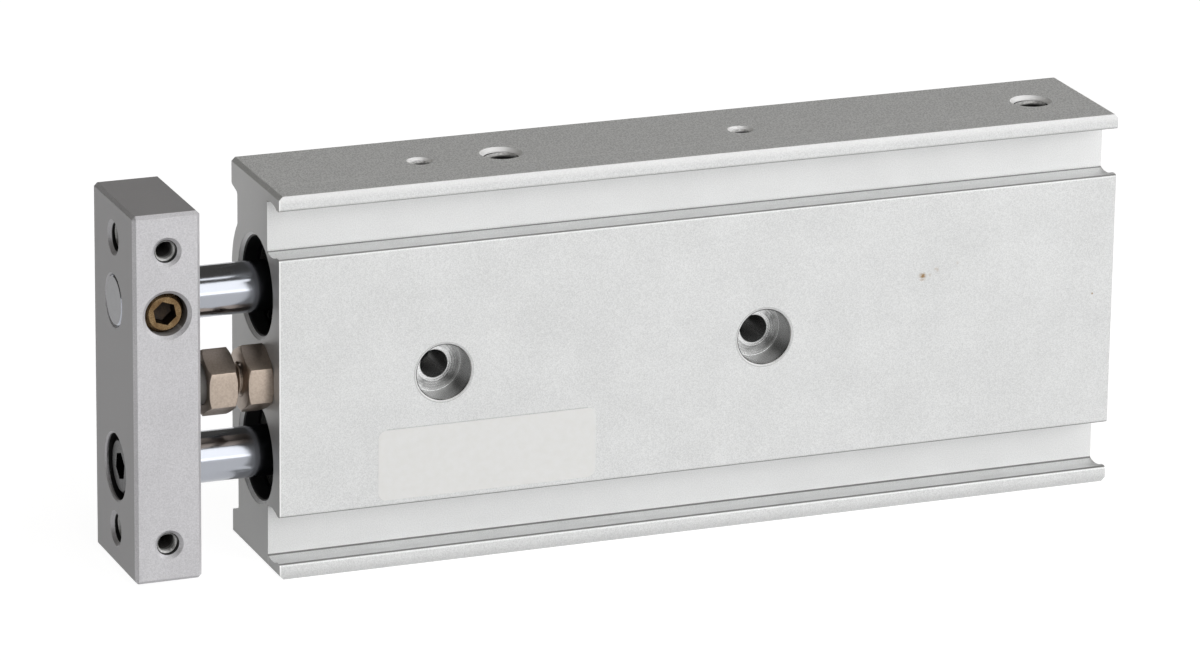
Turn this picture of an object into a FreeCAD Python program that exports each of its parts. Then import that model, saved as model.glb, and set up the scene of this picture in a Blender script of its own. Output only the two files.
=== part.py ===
import FreeCAD, Part
import math
import os

# Twin-rod guided pneumatic cylinder: two pistons side by side in one extruded housing push a plate.
# Millimetres. X runs from the plate (-X) to the rear of the housing (+X), Z is up, and the wide
# face with the sensor slots looks towards -Y. The origin lies under the middle of the whole part.

# Action
STROKE = 50.0
BORE = 10.0
ROD_DIAMETER = 6.0
ROD_PITCH = 20.0                # between the two rod axes

# Fits
RUNNING_CLEARANCE = 0.03        # radial, rod in its bearing
SEAL_CLEARANCE = 0.02           # radial, lip of a seal on the surface that it wipes
PISTON_CLEARANCE = 0.1          # radial, piston in the bore
SEAT_CLEARANCE = 0.03           # radial, a fixed round piece in its seat
THREAD_CLEARANCE = 0.03         # radial, a screw in its tapped hole
ADJUSTER_CLEARANCE = 0.05       # radial, the stop bolt in the hole and nut that it turns in
END_CLEARANCE = 0.1             # piston to its bumper at full stroke
EDGE_BREAK = 0.2                # chamfer on machined edges
DRILL_POINT_ANGLE = math.radians(118)
HEX_SIDES = 6
CORNERS_OVER_FLATS = 1 / math.cos(math.pi / HEX_SIDES)  # a hexagon's width over its corners

# Housing section
MOUTH_STEP = 0.75               # the bore mouths are this much larger in radius than the bore
SIDE_WALL = 2.75                # mouth to the wide faces
SLOT_CORNER_WALL = 0.714        # retaining-ring groove to the nearest corner of a sensor slot
SLOT_OPENING = 5.6
SLOT_DEPTH = 4.2
SLOT_CHANNEL = 0.45             # how far the slot widens behind each lip
SLOT_FLOOR_SPREAD = 0.2         # how much wider, on each side, the floor is than the opening
SLOT_LIP = 0.9                  # thickness of each lip behind the face
FLANGE_LIP = 1.85               # height of the flange above or below a slot
FLANGE_BACK = 3.1               # height of the flange at the back face
FLANGE_DRAFT = 0.55             # how much thicker it is at its root
RECESS_DEPTH = 2.1              # depth of the relief beside the flange, from the back face
RECESS_ROUND = 0.5
LIP_ROUND = 0.35
TOP_CHAMFER = 0.45              # on the end edges of the top and bottom faces

# Bore mouths, front to rear
MOUTH_CHAMFER = 0.55
RING_SEAT_DEPTH = 2.2           # end face to the retaining-ring groove
RING_GROOVE_WIDTH = 0.9
RING_GROOVE_DEPTH = 0.4
RING_THICKNESS = 0.8
RING_WIDTH = 1.0
RING_LUG_RADIUS = 1.15
RING_LUG_HOLE = 1.0
RING_GAP_ANGLE = 46.0
SEAL_RETAINER_THICKNESS = 0.8
RETAINER_ROD_GAP = 0.25
ROD_COVER_LENGTH = 23.6
GLAND_LENGTH = 2.6
GLAND_WALL = 1.2
SEAL_WALL = 0.45
O_RING_SECTION = 1.5
O_RING_GROOVE_WIDTH = 1.7
O_RING_INSET = 3.0              # from the inner end of the rod cover to its O-ring
BUMPER_WIDTH = 0.8
BUMPER_LENGTH = 1.9
BUMPER_STANDOUT = 0.7
BUMPER_ROD_GAP = 0.4

# Pistons
PISTON_FRONT_NOSE = 2.7
PISTON_BODY = 9.5
PISTON_REAR_NOSE = 1.5
PISTON_NOSE_STEP = 1.0          # noses are this much smaller in radius, so that air reaches the face
PISTON_LAND = 1.2
PISTON_SEAL_GROOVE = 2.2
MAGNET_GROOVE = 3.2
PISTON_GROOVE_DEPTH = 1.5
MAGNET_CLEARANCE = 0.35
SPIGOT_DIAMETER = 4.0           # threaded end of the rod inside the piston
SPIGOT_LENGTH = 9.0

# Rear end
ADJUSTER_MARGIN = 1.4           # free travel behind the pistons when the plate is at the stop
HEAD_NOSE_LENGTH = 4.8
HEAD_COVER_LENGTH = 3.0
HEAD_BUMPER_RADIUS = 2.6

# Air ports and mounting holes, from the front end face
FRONT_PORT_OFFSET = 2.5         # port axis behind the rod cover
REAR_PORT_OFFSET = 1.4          # port axis ahead of the head cover's seat
PORT_TAP_DIAMETER = 4.2
PORT_MOUTH_DIAMETER = 5.05
PORT_DEPTH = 5.0
PORT_PASSAGE_DIAMETER = 2.5
MOUNT_HOLE_START = 20.0
MOUNT_HOLE_SPACING = 40.0
MOUNT_HOLE_DIAMETER = 3.4
COUNTERBORE_DIAMETER = 6.6
COUNTERBORE_DEPTH = 3.5
SMALL_TAP_DIAMETER = 2.5        # M3 tapping size
TOP_TAP_MOUTH = 3.1
SIDE_TAP_MOUTH = 3.5
SMALL_TAP_DEPTH = 4.5

# Stop adjuster between the housing and the plate
PLATE_GAP = 9.0                 # plate to housing at rest
STOP_OFFSET = 3.0               # its axis lies this far in front of the rods' plane
HEX_ACROSS_FLATS = 7.0
HEX_BEVEL_ANGLE = 28.0
STOP_THREAD_DIAMETER = 4.0
NUT_HEIGHT = 3.0
ADJUSTER_GAP = 1.3              # thread in view between the nut and the bolt's head
BOLT_HEAD_HEIGHT = 3.4
BOLT_ENGAGEMENT = 9.5
STOP_HOLE_DEPTH = 14.0
PAD_DIAMETER = 5.0
PAD_SEAT_DEPTH = 1.4
PAD_CLEARANCE = 0.05            # pad to plate at rest

# Plate
PLATE_THICKNESS = 8.0
PLATE_WIDTH = 15.0
PLATE_MARGIN = 12.0             # from each rod axis to the plate's end
PLATE_EDGE = 0.4
PLATE_TAP_MARGIN = 7.5          # from each rod axis to the tapped holes
PLATE_TAP_DIAMETER = 3.3        # M4 tapping size
PLATE_TAP_MOUTH = 4.2
SIDE_TAP_DEPTH = 5.0
CLAMP_SCREW_DIAMETER = 5.0
CLAMP_SCREW_MOUTH = 5.9
CLAMP_SCREW_RECESS = 0.9
CLAMP_SCREW_CHAMFER = 0.35      # on its outer end
CLAMP_SCREW_SOCKET = 2.5        # across flats
CLAMP_SOCKET_DEPTH = 2.2
CAP_SCREW_DIAMETER = 4.0
CAP_HEAD_DIAMETER = 7.0
CAP_HEAD_HEIGHT = 4.0
CAP_SCREW_LENGTH = 9.0
CAP_SOCKET = 3.0                # across flats
CAP_SOCKET_DEPTH = 2.0
CAP_RECESS_DIAMETER = 7.8
CAP_RECESS_DEPTH = 4.6
ROD_SEAT_DEPTH = 1.0            # lower rod's seat in the plate's rear face

# Radii and heights that follow
bore_radius = BORE / 2
rod_radius = ROD_DIAMETER / 2
mouth_radius = bore_radius + MOUTH_STEP
ring_groove_radius = mouth_radius + RING_GROOVE_DEPTH
half_depth = mouth_radius + SIDE_WALL
slot_floor = SLOT_DEPTH - half_depth
slot_corner = math.sqrt((ring_groove_radius + SLOT_CORNER_WALL) ** 2 - slot_floor ** 2)
slot_edge = slot_corner + SLOT_FLOOR_SPREAD
half_height = ROD_PITCH / 2 + slot_edge + SLOT_OPENING + FLANGE_LIP
lower_rod_z = half_height - ROD_PITCH / 2
upper_rod_z = half_height + ROD_PITCH / 2
housing_top = 2 * half_height
rod_levels = {"upper": upper_rod_z, "lower": lower_rod_z}

# Stations along the cylinder, from the housing's front end face
cover_seat = RING_SEAT_DEPTH + RING_GROOVE_WIDTH
cover_start = cover_seat + SEAL_RETAINER_THICKNESS
cover_end = cover_start + ROD_COVER_LENGTH
piston_front_limit = cover_end + BUMPER_STANDOUT + END_CLEARANCE
piston_start = piston_front_limit + STROKE
piston_body_start = piston_start + PISTON_FRONT_NOSE
piston_body_end = piston_body_start + PISTON_BODY
piston_end = piston_body_end + PISTON_REAR_NOSE
head_bumper_face = piston_end + ADJUSTER_MARGIN
head_nose_face = head_bumper_face + BUMPER_STANDOUT
head_seat = head_nose_face + HEAD_NOSE_LENGTH
head_cover_end = head_seat + HEAD_COVER_LENGTH
housing_length = head_cover_end + RING_GROOVE_WIDTH + RING_SEAT_DEPTH
front_port = cover_end + FRONT_PORT_OFFSET
rear_port = head_seat - REAR_PORT_OFFSET
mount_holes = [MOUNT_HOLE_START, MOUNT_HOLE_START + MOUNT_HOLE_SPACING]

# Places in the part's own frame
overall_length = PLATE_THICKNESS + PLATE_GAP + housing_length
plate_front = -overall_length / 2
plate_back = plate_front + PLATE_THICKNESS
housing_front = plate_back + PLATE_GAP
housing_rear = housing_front + housing_length
plate_middle = (plate_front + plate_back) / 2
nut_front = housing_front - NUT_HEIGHT
head_back = nut_front - ADJUSTER_GAP
head_front = head_back - BOLT_HEAD_HEIGHT
cap_screw_end = plate_front + CAP_RECESS_DEPTH + CAP_SCREW_LENGTH

TOWARDS_REAR = FreeCAD.Vector(1, 0, 0)
TOWARDS_BACK = FreeCAD.Vector(0, 1, 0)
UP = FreeCAD.Vector(0, 0, 1)
OVERCUT = 1.0                   # how far a cutting tool starts outside the surface
NEAR = 1e-6                     # two places closer than this are the same


def cylinder(radius, length, base, direction=TOWARDS_REAR):
    """Solid cylinder from its base centre."""
    return Part.makeCylinder(radius, length, FreeCAD.Vector(*base), direction)


def rod_between(radius, start, end, y, z):
    """Solid cylinder along X from one station to another."""
    return cylinder(radius, end - start, (start, y, z))


def turned(outline, y, z):
    """Solid of revolution about the X axis through (y, z), from (x, radius) corners."""
    corners = [FreeCAD.Vector(x, y, z + radius) for x, radius in outline]
    face = Part.Face(Part.makePolygon(corners + corners[:1]))
    return face.revolve(FreeCAD.Vector(0, y, z), TOWARDS_REAR, 360)


def prism(wire, start, end):
    """Extrusion along X of a closed wire drawn at x = 0."""
    solid = Part.Face(wire).extrude(TOWARDS_REAR * (end - start))
    solid.translate(TOWARDS_REAR * start)
    return solid


def box_between(low, high):
    """Box from its lowest to its highest corner."""
    sides = [top - bottom for bottom, top in zip(low, high)]
    return Part.makeBox(*sides, FreeCAD.Vector(*low))


def hole(diameter, depth, mouth, inward, mouth_diameter=0.0, pointed=True):
    """Cutting tool for a drilled or tapped hole, with its countersink and drill point."""
    radius = diameter / 2
    base = FreeCAD.Vector(*mouth) - inward * OVERCUT
    tool = Part.makeCylinder(radius, depth + OVERCUT, base, inward)
    if mouth_diameter:
        sink = mouth_diameter / 2 - radius
        top = FreeCAD.Vector(*mouth) - inward * sink
        tool = tool.fuse(Part.makeCone(radius + 2 * sink, radius, 2 * sink, top, inward))
    if pointed:
        tip = FreeCAD.Vector(*mouth) + inward * depth
        tool = tool.fuse(Part.makeCone(radius, 0, radius / math.tan(DRILL_POINT_ANGLE / 2), tip, inward))
    return tool


def edges_along_x(shape, places):
    """Straight edges parallel to X that pass through the given (y, z) places."""
    found = []
    for edge in shape.Edges:
        ends = [vertex.Point for vertex in edge.Vertexes]
        for y, z in places:
            if all(abs(end.y - y) < NEAR and abs(end.z - z) < NEAR for end in ends):
                found.append(edge)
    return found


def hexagon_along_x(across_flats, start, end, y, z):
    """Hexagonal prism along X with two flats facing -Y and +Y."""
    reach = across_flats * CORNERS_OVER_FLATS / 2
    corners = []
    for corner in range(HEX_SIDES + 1):
        angle = math.tau * corner / HEX_SIDES
        corners.append(FreeCAD.Vector(0, y + reach * math.sin(angle), z + reach * math.cos(angle)))
    return prism(Part.makePolygon(corners), start, end)


def corner_cone(start, end, front, rear):
    """Turned blank that bevels the stop hexagon's corners at its front or rear face, or at both."""
    flat = HEX_ACROSS_FLATS / 2 - EDGE_BREAK / 2
    corner = HEX_ACROSS_FLATS * CORNERS_OVER_FLATS / 2 + EDGE_BREAK
    bevel = (corner - flat) * math.tan(math.radians(HEX_BEVEL_ANGLE))
    outline = [(start, 0)]
    outline += [(start, flat), (start + bevel, corner)] if front else [(start, corner)]
    outline += [(end - bevel, corner), (end, flat)] if rear else [(end, corner)]
    outline += [(end, 0)]
    return turned(outline, -STOP_OFFSET, half_height)


def slot_cutter(middle, side):
    """Sensor slot whose walls hollow out behind a lip, centred at the given height."""
    face = -half_depth
    opening = SLOT_OPENING / 2
    lip_back = face + SLOT_LIP
    floor_half = opening + SLOT_FLOOR_SPREAD
    channel_middle = (lip_back + slot_floor) / 2
    channel_half = opening + SLOT_CHANNEL

    def point(y, height):
        return FreeCAD.Vector(0, y, middle + side * height)

    edges = [
        Part.makeLine(point(face - OVERCUT, -opening), point(lip_back, -opening)),
        Part.Arc(point(lip_back, -opening), point(channel_middle, -channel_half),
                 point(slot_floor, -floor_half)).toShape(),
        Part.makeLine(point(slot_floor, -floor_half), point(slot_floor, floor_half)),
        Part.Arc(point(slot_floor, floor_half), point(channel_middle, channel_half),
                 point(lip_back, opening)).toShape(),
        Part.makeLine(point(lip_back, opening), point(face - OVERCUT, opening)),
        Part.makeLine(point(face - OVERCUT, opening), point(face - OVERCUT, -opening)),
    ]
    return prism(Part.Wire(edges), housing_front - OVERCUT, housing_rear + OVERCUT)


def back_recess_cutter(rod_z, side):
    """Relief between a flange and the round boss over a bore, in the back face."""
    flange = half_height + side * (half_height - FLANGE_BACK)
    floor_y = half_depth - RECESS_DEPTH
    corners = [
        FreeCAD.Vector(0, half_depth + OVERCUT, rod_z),
        FreeCAD.Vector(0, half_depth + OVERCUT, flange),
        FreeCAD.Vector(0, half_depth, flange),
        FreeCAD.Vector(0, floor_y, flange - side * FLANGE_DRAFT),
        FreeCAD.Vector(0, floor_y, rod_z),
    ]
    block = prism(Part.makePolygon(corners + corners[:1]), housing_front - OVERCUT, housing_rear + OVERCUT)
    root = edges_along_x(block, [(floor_y, flange - side * FLANGE_DRAFT)])
    block = block.makeFillet(RECESS_ROUND, root)
    boss = rod_between(half_depth, housing_front - OVERCUT, housing_rear + OVERCUT, 0, rod_z)
    return block.cut(boss)


def extrusion():
    """Housing profile at full length, before it is drilled."""
    body = box_between((housing_front, -half_depth, 0), (housing_rear, half_depth, housing_top))
    rounded = []
    for side, rod_z in ((1, upper_rod_z), (-1, lower_rod_z)):
        slot_middle = rod_z + side * (slot_edge + SLOT_OPENING / 2)
        body = body.cut(slot_cutter(slot_middle, side))
        body = body.cut(back_recess_cutter(rod_z, side))
        rounded += [(-half_depth, slot_middle + end * SLOT_OPENING / 2) for end in (-1, 1)]
        rounded.append((half_depth, half_height + side * (half_height - FLANGE_BACK)))
    body = body.makeFillet(LIP_ROUND, edges_along_x(body, rounded))
    end_edges = []
    for edge in body.Edges:
        box = edge.BoundBox
        along_y = box.XLength < NEAR and box.ZLength < NEAR
        if along_y and (box.ZMin < NEAR or box.ZMax > housing_top - NEAR):
            end_edges.append(edge)
    return body.makeChamfer(TOP_CHAMFER, end_edges)


def bore_cutter(rod_z):
    """Working bore with a wider, chamfered and grooved mouth at each end."""
    outline = [
        (housing_front - OVERCUT, 0),
        (housing_front - OVERCUT, mouth_radius + MOUTH_CHAMFER + OVERCUT),
        (housing_front + MOUTH_CHAMFER, mouth_radius),
        (housing_front + RING_SEAT_DEPTH, mouth_radius),
        (housing_front + RING_SEAT_DEPTH, ring_groove_radius),
        (housing_front + cover_seat, ring_groove_radius),
        (housing_front + cover_seat, mouth_radius),
        (housing_front + cover_end, mouth_radius),
        (housing_front + cover_end, bore_radius),
        (housing_front + head_seat, bore_radius),
        (housing_front + head_seat, mouth_radius),
        (housing_front + head_cover_end, mouth_radius),
        (housing_front + head_cover_end, ring_groove_radius),
        (housing_rear - RING_SEAT_DEPTH, ring_groove_radius),
        (housing_rear - RING_SEAT_DEPTH, mouth_radius),
        (housing_rear - MOUTH_CHAMFER, mouth_radius),
        (housing_rear + OVERCUT, mouth_radius + MOUTH_CHAMFER + OVERCUT),
        (housing_rear + OVERCUT, 0),
    ]
    return turned(outline, 0, rod_z)


def port_cutter(station):
    """Tapped air port in the top face and its passage into both bores."""
    x = housing_front + station
    mouth = (x, 0, housing_top)
    port = hole(PORT_TAP_DIAMETER, PORT_DEPTH, mouth, -UP, PORT_MOUTH_DIAMETER)
    passage = cylinder(PORT_PASSAGE_DIAMETER / 2, housing_top - lower_rod_z, (x, 0, lower_rod_z), UP)
    return port.fuse(passage)


def mounting_hole_cutter(station):
    """Counterbored hole through the web between the bores."""
    mouth = (housing_front + station, -half_depth, half_height)
    head = hole(COUNTERBORE_DIAMETER, COUNTERBORE_DEPTH, mouth, TOWARDS_BACK,
                COUNTERBORE_DIAMETER + 2 * EDGE_BREAK, pointed=False)
    shank = hole(MOUNT_HOLE_DIAMETER, 2 * half_depth + OVERCUT, mouth, TOWARDS_BACK, pointed=False)
    back = (mouth[0], half_depth, half_height)
    relief = hole(MOUNT_HOLE_DIAMETER, EDGE_BREAK, back, -TOWARDS_BACK,
                  MOUNT_HOLE_DIAMETER + 2 * EDGE_BREAK, pointed=False)
    return head.fuse([shank, relief])


def make_housing():
    """Extruded aluminium body with both bores, the ports and every fixing hole."""
    tools = [bore_cutter(rod_z) for rod_z in rod_levels.values()]
    tools += [port_cutter(station) for station in (front_port, rear_port)]
    for station in mount_holes:
        tools.append(mounting_hole_cutter(station))
        top = (housing_front + station, 0, housing_top)
        tools.append(hole(SMALL_TAP_DIAMETER, SMALL_TAP_DEPTH, top, -UP, TOP_TAP_MOUTH))
    stop_mouth = (housing_front, -STOP_OFFSET, half_height)
    diameter = STOP_THREAD_DIAMETER + 2 * ADJUSTER_CLEARANCE
    tools.append(hole(diameter, STOP_HOLE_DEPTH, stop_mouth, TOWARDS_REAR, diameter + 2 * EDGE_BREAK))
    body = extrusion()
    for tool in tools:
        body = body.cut(tool)
    return body


def wedge(half_angle, towards, reach, start, end, z):
    """Prism along X that covers a sector about a rod axis, opening upwards or downwards."""
    corners = [FreeCAD.Vector(0, 0, z)]
    for turn in (-1, -0.5, 0, 0.5, 1):
        angle = turn * half_angle
        corners.append(FreeCAD.Vector(0, reach * math.sin(angle), z + towards * reach * math.cos(angle)))
    return prism(Part.makePolygon(corners + corners[:1]), start, end)


def make_retaining_ring(held_face, side, rod_z):
    """Internal retaining ring with two plier lugs, seated on the face that it holds in."""
    outer = ring_groove_radius - SEAT_CLEARANCE
    start, end = sorted((held_face, held_face - side * RING_THICKNESS))
    lug_circle = outer - RING_LUG_RADIUS
    half_gap = math.radians(RING_GAP_ANGLE / 2)
    towards = -1 if rod_z > half_height else 1
    band = rod_between(outer, start, end, 0, rod_z)
    band = band.cut(rod_between(outer - RING_WIDTH, start - OVERCUT, end + OVERCUT, 0, rod_z))
    ring = band.cut(wedge(half_gap, towards, 2 * outer, start - OVERCUT, end + OVERCUT, rod_z))
    for turn in (-1, 1):
        angle = turn * (half_gap + RING_LUG_RADIUS / lug_circle)
        y = lug_circle * math.sin(angle)
        z = rod_z + towards * lug_circle * math.cos(angle)
        ring = ring.fuse(rod_between(RING_LUG_RADIUS, start, end, y, z))
        ring = ring.cut(rod_between(RING_LUG_HOLE / 2, start - OVERCUT, end + OVERCUT, y, z))
    return ring.removeSplitter()


def make_seal_retainer(rod_z):
    """Washer that keeps the rod seal in its gland."""
    start = housing_front + cover_seat
    end = housing_front + cover_start
    inner = rod_radius + RETAINER_ROD_GAP
    outer = mouth_radius - SEAT_CLEARANCE
    return turned([(start, inner), (start, outer), (end, outer), (end, inner)], 0, rod_z)


def make_rod_seal(rod_z):
    """Lip seal of one rod, in the gland at the front of the rod cover."""
    start = housing_front + cover_start
    outer = rod_radius + GLAND_WALL - SEAT_CLEARANCE
    return lip_seal(outer, rod_radius + SEAL_CLEARANCE, start, start + GLAND_LENGTH, rod_z)


def make_rod_cover(rod_z):
    """Long bearing bush of one rod, with the seal gland in front and the bumper's seat behind."""
    start = housing_front + cover_start
    end = housing_front + cover_end
    outer = mouth_radius - SEAT_CLEARANCE
    bearing = rod_radius + RUNNING_CLEARANCE
    gland = rod_radius + GLAND_WALL
    groove_end = end - O_RING_INSET
    groove_start = groove_end - O_RING_GROOVE_WIDTH
    seat = rod_radius + BUMPER_ROD_GAP + BUMPER_WIDTH
    seat_start = end + BUMPER_STANDOUT - BUMPER_LENGTH
    outline = [
        (start, gland),
        (start, outer - EDGE_BREAK),
        (start + EDGE_BREAK, outer),
        (groove_start, outer),
        (groove_start, outer - O_RING_SECTION + SEAT_CLEARANCE),
        (groove_end, outer - O_RING_SECTION + SEAT_CLEARANCE),
        (groove_end, outer),
        (end, outer),
        (end, seat),
        (seat_start, seat),
        (seat_start, bearing),
        (start + GLAND_LENGTH, bearing),
        (start + GLAND_LENGTH, gland),
    ]
    return turned(outline, 0, rod_z)


def lip_seal(outer, inner, start, end, rod_z):
    """U-shaped seal whose open side looks along +X."""
    middle = (outer + inner) / 2
    groove = SEAL_WALL / 2
    outline = [
        (start, inner),
        (start, outer),
        (end, outer),
        (end, middle + groove),
        ((start + end) / 2, middle),
        (end, middle - groove),
        (end, inner),
    ]
    return turned(outline, 0, rod_z)


def o_ring(outer, station, rod_z):
    """O-ring with its middle at the given place along X."""
    section = (O_RING_SECTION - SEAT_CLEARANCE) / 2
    ring = Part.makeTorus(outer - section, section)
    ring.rotate(FreeCAD.Vector(0, 0, 0), TOWARDS_BACK, 90)
    ring.translate(FreeCAD.Vector(station, 0, rod_z))
    return ring


def make_rod_cover_o_ring(rod_z):
    """O-ring between the rod cover and the bore."""
    station = housing_front + cover_end - O_RING_INSET - O_RING_GROOVE_WIDTH / 2
    return o_ring(mouth_radius - SEAT_CLEARANCE, station, rod_z)


def make_head_cover_o_ring(rod_z):
    """O-ring between the head cover and the bore."""
    station = housing_front + (head_seat + head_cover_end) / 2
    return o_ring(mouth_radius - SEAT_CLEARANCE, station, rod_z)


def make_front_bumper(rod_z):
    """Polyurethane ring that cushions the piston at full stroke."""
    end = housing_front + cover_end + BUMPER_STANDOUT
    start = end - BUMPER_LENGTH
    inner = rod_radius + BUMPER_ROD_GAP
    outer = inner + BUMPER_WIDTH - SEAT_CLEARANCE
    return turned([(start, inner), (start, outer), (end, outer), (end, inner)], 0, rod_z)


def make_head_cover(rod_z):
    """Plug that closes the rear of one bore, with a nose that carries the rear bumper."""
    nose = bore_radius - PISTON_NOSE_STEP
    outer = mouth_radius - SEAT_CLEARANCE
    face = housing_front + head_nose_face
    seat = housing_front + head_seat
    end = housing_front + head_cover_end
    bumper_seat = face + BUMPER_LENGTH - BUMPER_STANDOUT
    groove_start = (seat + end - O_RING_GROOVE_WIDTH) / 2
    groove_end = groove_start + O_RING_GROOVE_WIDTH
    outline = [
        (bumper_seat, 0),
        (bumper_seat, HEAD_BUMPER_RADIUS),
        (face, HEAD_BUMPER_RADIUS),
        (face, nose),
        (seat, nose),
        (seat, outer),
        (groove_start, outer),
        (groove_start, outer - O_RING_SECTION + SEAT_CLEARANCE),
        (groove_end, outer - O_RING_SECTION + SEAT_CLEARANCE),
        (groove_end, outer),
        (end - EDGE_BREAK, outer),
        (end, outer - EDGE_BREAK),
        (end, 0),
    ]
    return turned(outline, 0, rod_z)


def make_rear_bumper(rod_z):
    """Polyurethane disc in the nose of the head cover."""
    start = housing_front + head_bumper_face
    return rod_between(HEAD_BUMPER_RADIUS - SEAT_CLEARANCE, start, start + BUMPER_LENGTH, 0, rod_z)


def make_piston(rod_z):
    """Piston with a nose at each end and grooves for its seal and magnet."""
    outer = bore_radius - PISTON_CLEARANCE
    nose = bore_radius - PISTON_NOSE_STEP
    root = outer - PISTON_GROOVE_DEPTH
    socket = SPIGOT_DIAMETER / 2 + THREAD_CLEARANCE
    start, body_start, body_end, end = [
        housing_front + station
        for station in (piston_start, piston_body_start, piston_body_end, piston_end)
    ]
    seal_start = body_start + PISTON_LAND
    seal_end = seal_start + PISTON_SEAL_GROOVE
    magnet_end = body_end - PISTON_LAND
    magnet_start = magnet_end - MAGNET_GROOVE
    outline = [
        (start, socket),
        (start, nose),
        (body_start, nose),
        (body_start, outer),
        (seal_start, outer),
        (seal_start, root),
        (seal_end, root),
        (seal_end, outer),
        (magnet_start, outer),
        (magnet_start, root),
        (magnet_end, root),
        (magnet_end, outer),
        (body_end, outer),
        (body_end, nose),
        (end, nose),
        (end, 0),
        (start + SPIGOT_LENGTH + THREAD_CLEARANCE, 0),
        (start + SPIGOT_LENGTH + THREAD_CLEARANCE, socket),
    ]
    return turned(outline, 0, rod_z)


def make_piston_seal(rod_z):
    """Lip seal in the front groove of the piston."""
    start = housing_front + piston_body_start + PISTON_LAND
    inner = bore_radius - PISTON_CLEARANCE - PISTON_GROOVE_DEPTH + SEAT_CLEARANCE
    return lip_seal(bore_radius - SEAL_CLEARANCE, inner, start, start + PISTON_SEAL_GROOVE, rod_z)


def make_magnet(rod_z):
    """Ring magnet that the sensors in the slots detect."""
    end = housing_front + piston_body_end - PISTON_LAND
    start = end - MAGNET_GROOVE
    inner = bore_radius - PISTON_CLEARANCE - PISTON_GROOVE_DEPTH + SEAT_CLEARANCE
    outer = bore_radius - MAGNET_CLEARANCE
    return turned([(start, inner), (start, outer), (end, outer), (end, inner)], 0, rod_z)


def make_piston_rod(front, tapped, rod_z):
    """Ground rod with a spigot in the piston, tapped at the front where a screw pulls it in."""
    shoulder = housing_front + piston_start
    spigot = SPIGOT_DIAMETER / 2
    outline = [
        (front, 0),
        (front, rod_radius - EDGE_BREAK),
        (front + EDGE_BREAK, rod_radius),
        (shoulder, rod_radius),
        (shoulder, spigot),
        (shoulder + SPIGOT_LENGTH - EDGE_BREAK, spigot),
        (shoulder + SPIGOT_LENGTH, spigot - EDGE_BREAK),
        (shoulder + SPIGOT_LENGTH, 0),
    ]
    rod = turned(outline, 0, rod_z)
    if tapped:
        diameter = CAP_SCREW_DIAMETER + 2 * THREAD_CLEARANCE
        depth = cap_screw_end - front + EDGE_BREAK
        rod = rod.cut(hole(diameter, depth, (front, 0, rod_z), TOWARDS_REAR))
    return rod


def make_plate():
    """End plate that ties both rods together, tapped on its front and on both sides."""
    half_width = PLATE_WIDTH / 2
    bottom = lower_rod_z - PLATE_MARGIN
    top = upper_rod_z + PLATE_MARGIN
    plate = box_between((plate_front, -half_width, bottom), (plate_back, half_width, top))
    plate = plate.makeChamfer(PLATE_EDGE, plate.Edges)
    rod_fit = ROD_DIAMETER + 2 * SEAT_CLEARANCE
    upper_mouth = (plate_front, 0, upper_rod_z)
    lower_mouth = (plate_front, 0, lower_rod_z)
    lower_seat = (plate_back, 0, lower_rod_z)
    tools = [
        hole(rod_fit, PLATE_THICKNESS + OVERCUT, upper_mouth, TOWARDS_REAR,
             rod_fit + 2 * EDGE_BREAK, pointed=False),
        hole(CAP_RECESS_DIAMETER, CAP_RECESS_DEPTH, lower_mouth, TOWARDS_REAR,
             CAP_RECESS_DIAMETER + 2 * EDGE_BREAK, pointed=False),
        hole(CAP_SCREW_DIAMETER + 4 * EDGE_BREAK, PLATE_THICKNESS + OVERCUT, lower_mouth, TOWARDS_REAR,
             pointed=False),
        hole(rod_fit, ROD_SEAT_DEPTH, lower_seat, -TOWARDS_REAR, pointed=False),
        hole(CLAMP_SCREW_DIAMETER + 2 * THREAD_CLEARANCE, half_width,
             (plate_middle, -half_width, upper_rod_z), TOWARDS_BACK, CLAMP_SCREW_MOUTH, pointed=False),
    ]
    for tap_z in (lower_rod_z - PLATE_TAP_MARGIN, upper_rod_z + PLATE_TAP_MARGIN):
        for face, inward in ((plate_front, TOWARDS_REAR), (plate_back, -TOWARDS_REAR)):
            tools.append(hole(PLATE_TAP_DIAMETER, PLATE_THICKNESS + OVERCUT, (face, 0, tap_z), inward,
                              PLATE_TAP_MOUTH, pointed=False))
        for y, inward in ((-half_width, TOWARDS_BACK), (half_width, -TOWARDS_BACK)):
            tools.append(hole(SMALL_TAP_DIAMETER, SIDE_TAP_DEPTH, (plate_middle, y, tap_z), inward,
                              SIDE_TAP_MOUTH, pointed=False))
    for tool in tools:
        plate = plate.cut(tool)
    return plate


def make_rod_clamp_screw():
    """Hexagon-socket set screw that clamps the upper rod in the plate."""
    radius = CLAMP_SCREW_DIAMETER / 2
    length = PLATE_WIDTH / 2 - CLAMP_SCREW_RECESS - rod_radius - THREAD_CLEARANCE
    outline = [
        (0, 0),
        (0, radius - CLAMP_SCREW_CHAMFER),
        (CLAMP_SCREW_CHAMFER, radius),
        (length - EDGE_BREAK, radius),
        (length, radius - EDGE_BREAK),
        (length, 0),
    ]
    socket = hexagon_along_x(CLAMP_SCREW_SOCKET, -OVERCUT, CLAMP_SOCKET_DEPTH, 0, 0)
    screw = turned(outline, 0, 0).cut(socket)
    screw.rotate(FreeCAD.Vector(0, 0, 0), UP, 90)
    screw.translate(FreeCAD.Vector(plate_middle, CLAMP_SCREW_RECESS - PLATE_WIDTH / 2, upper_rod_z))
    return screw


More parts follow.
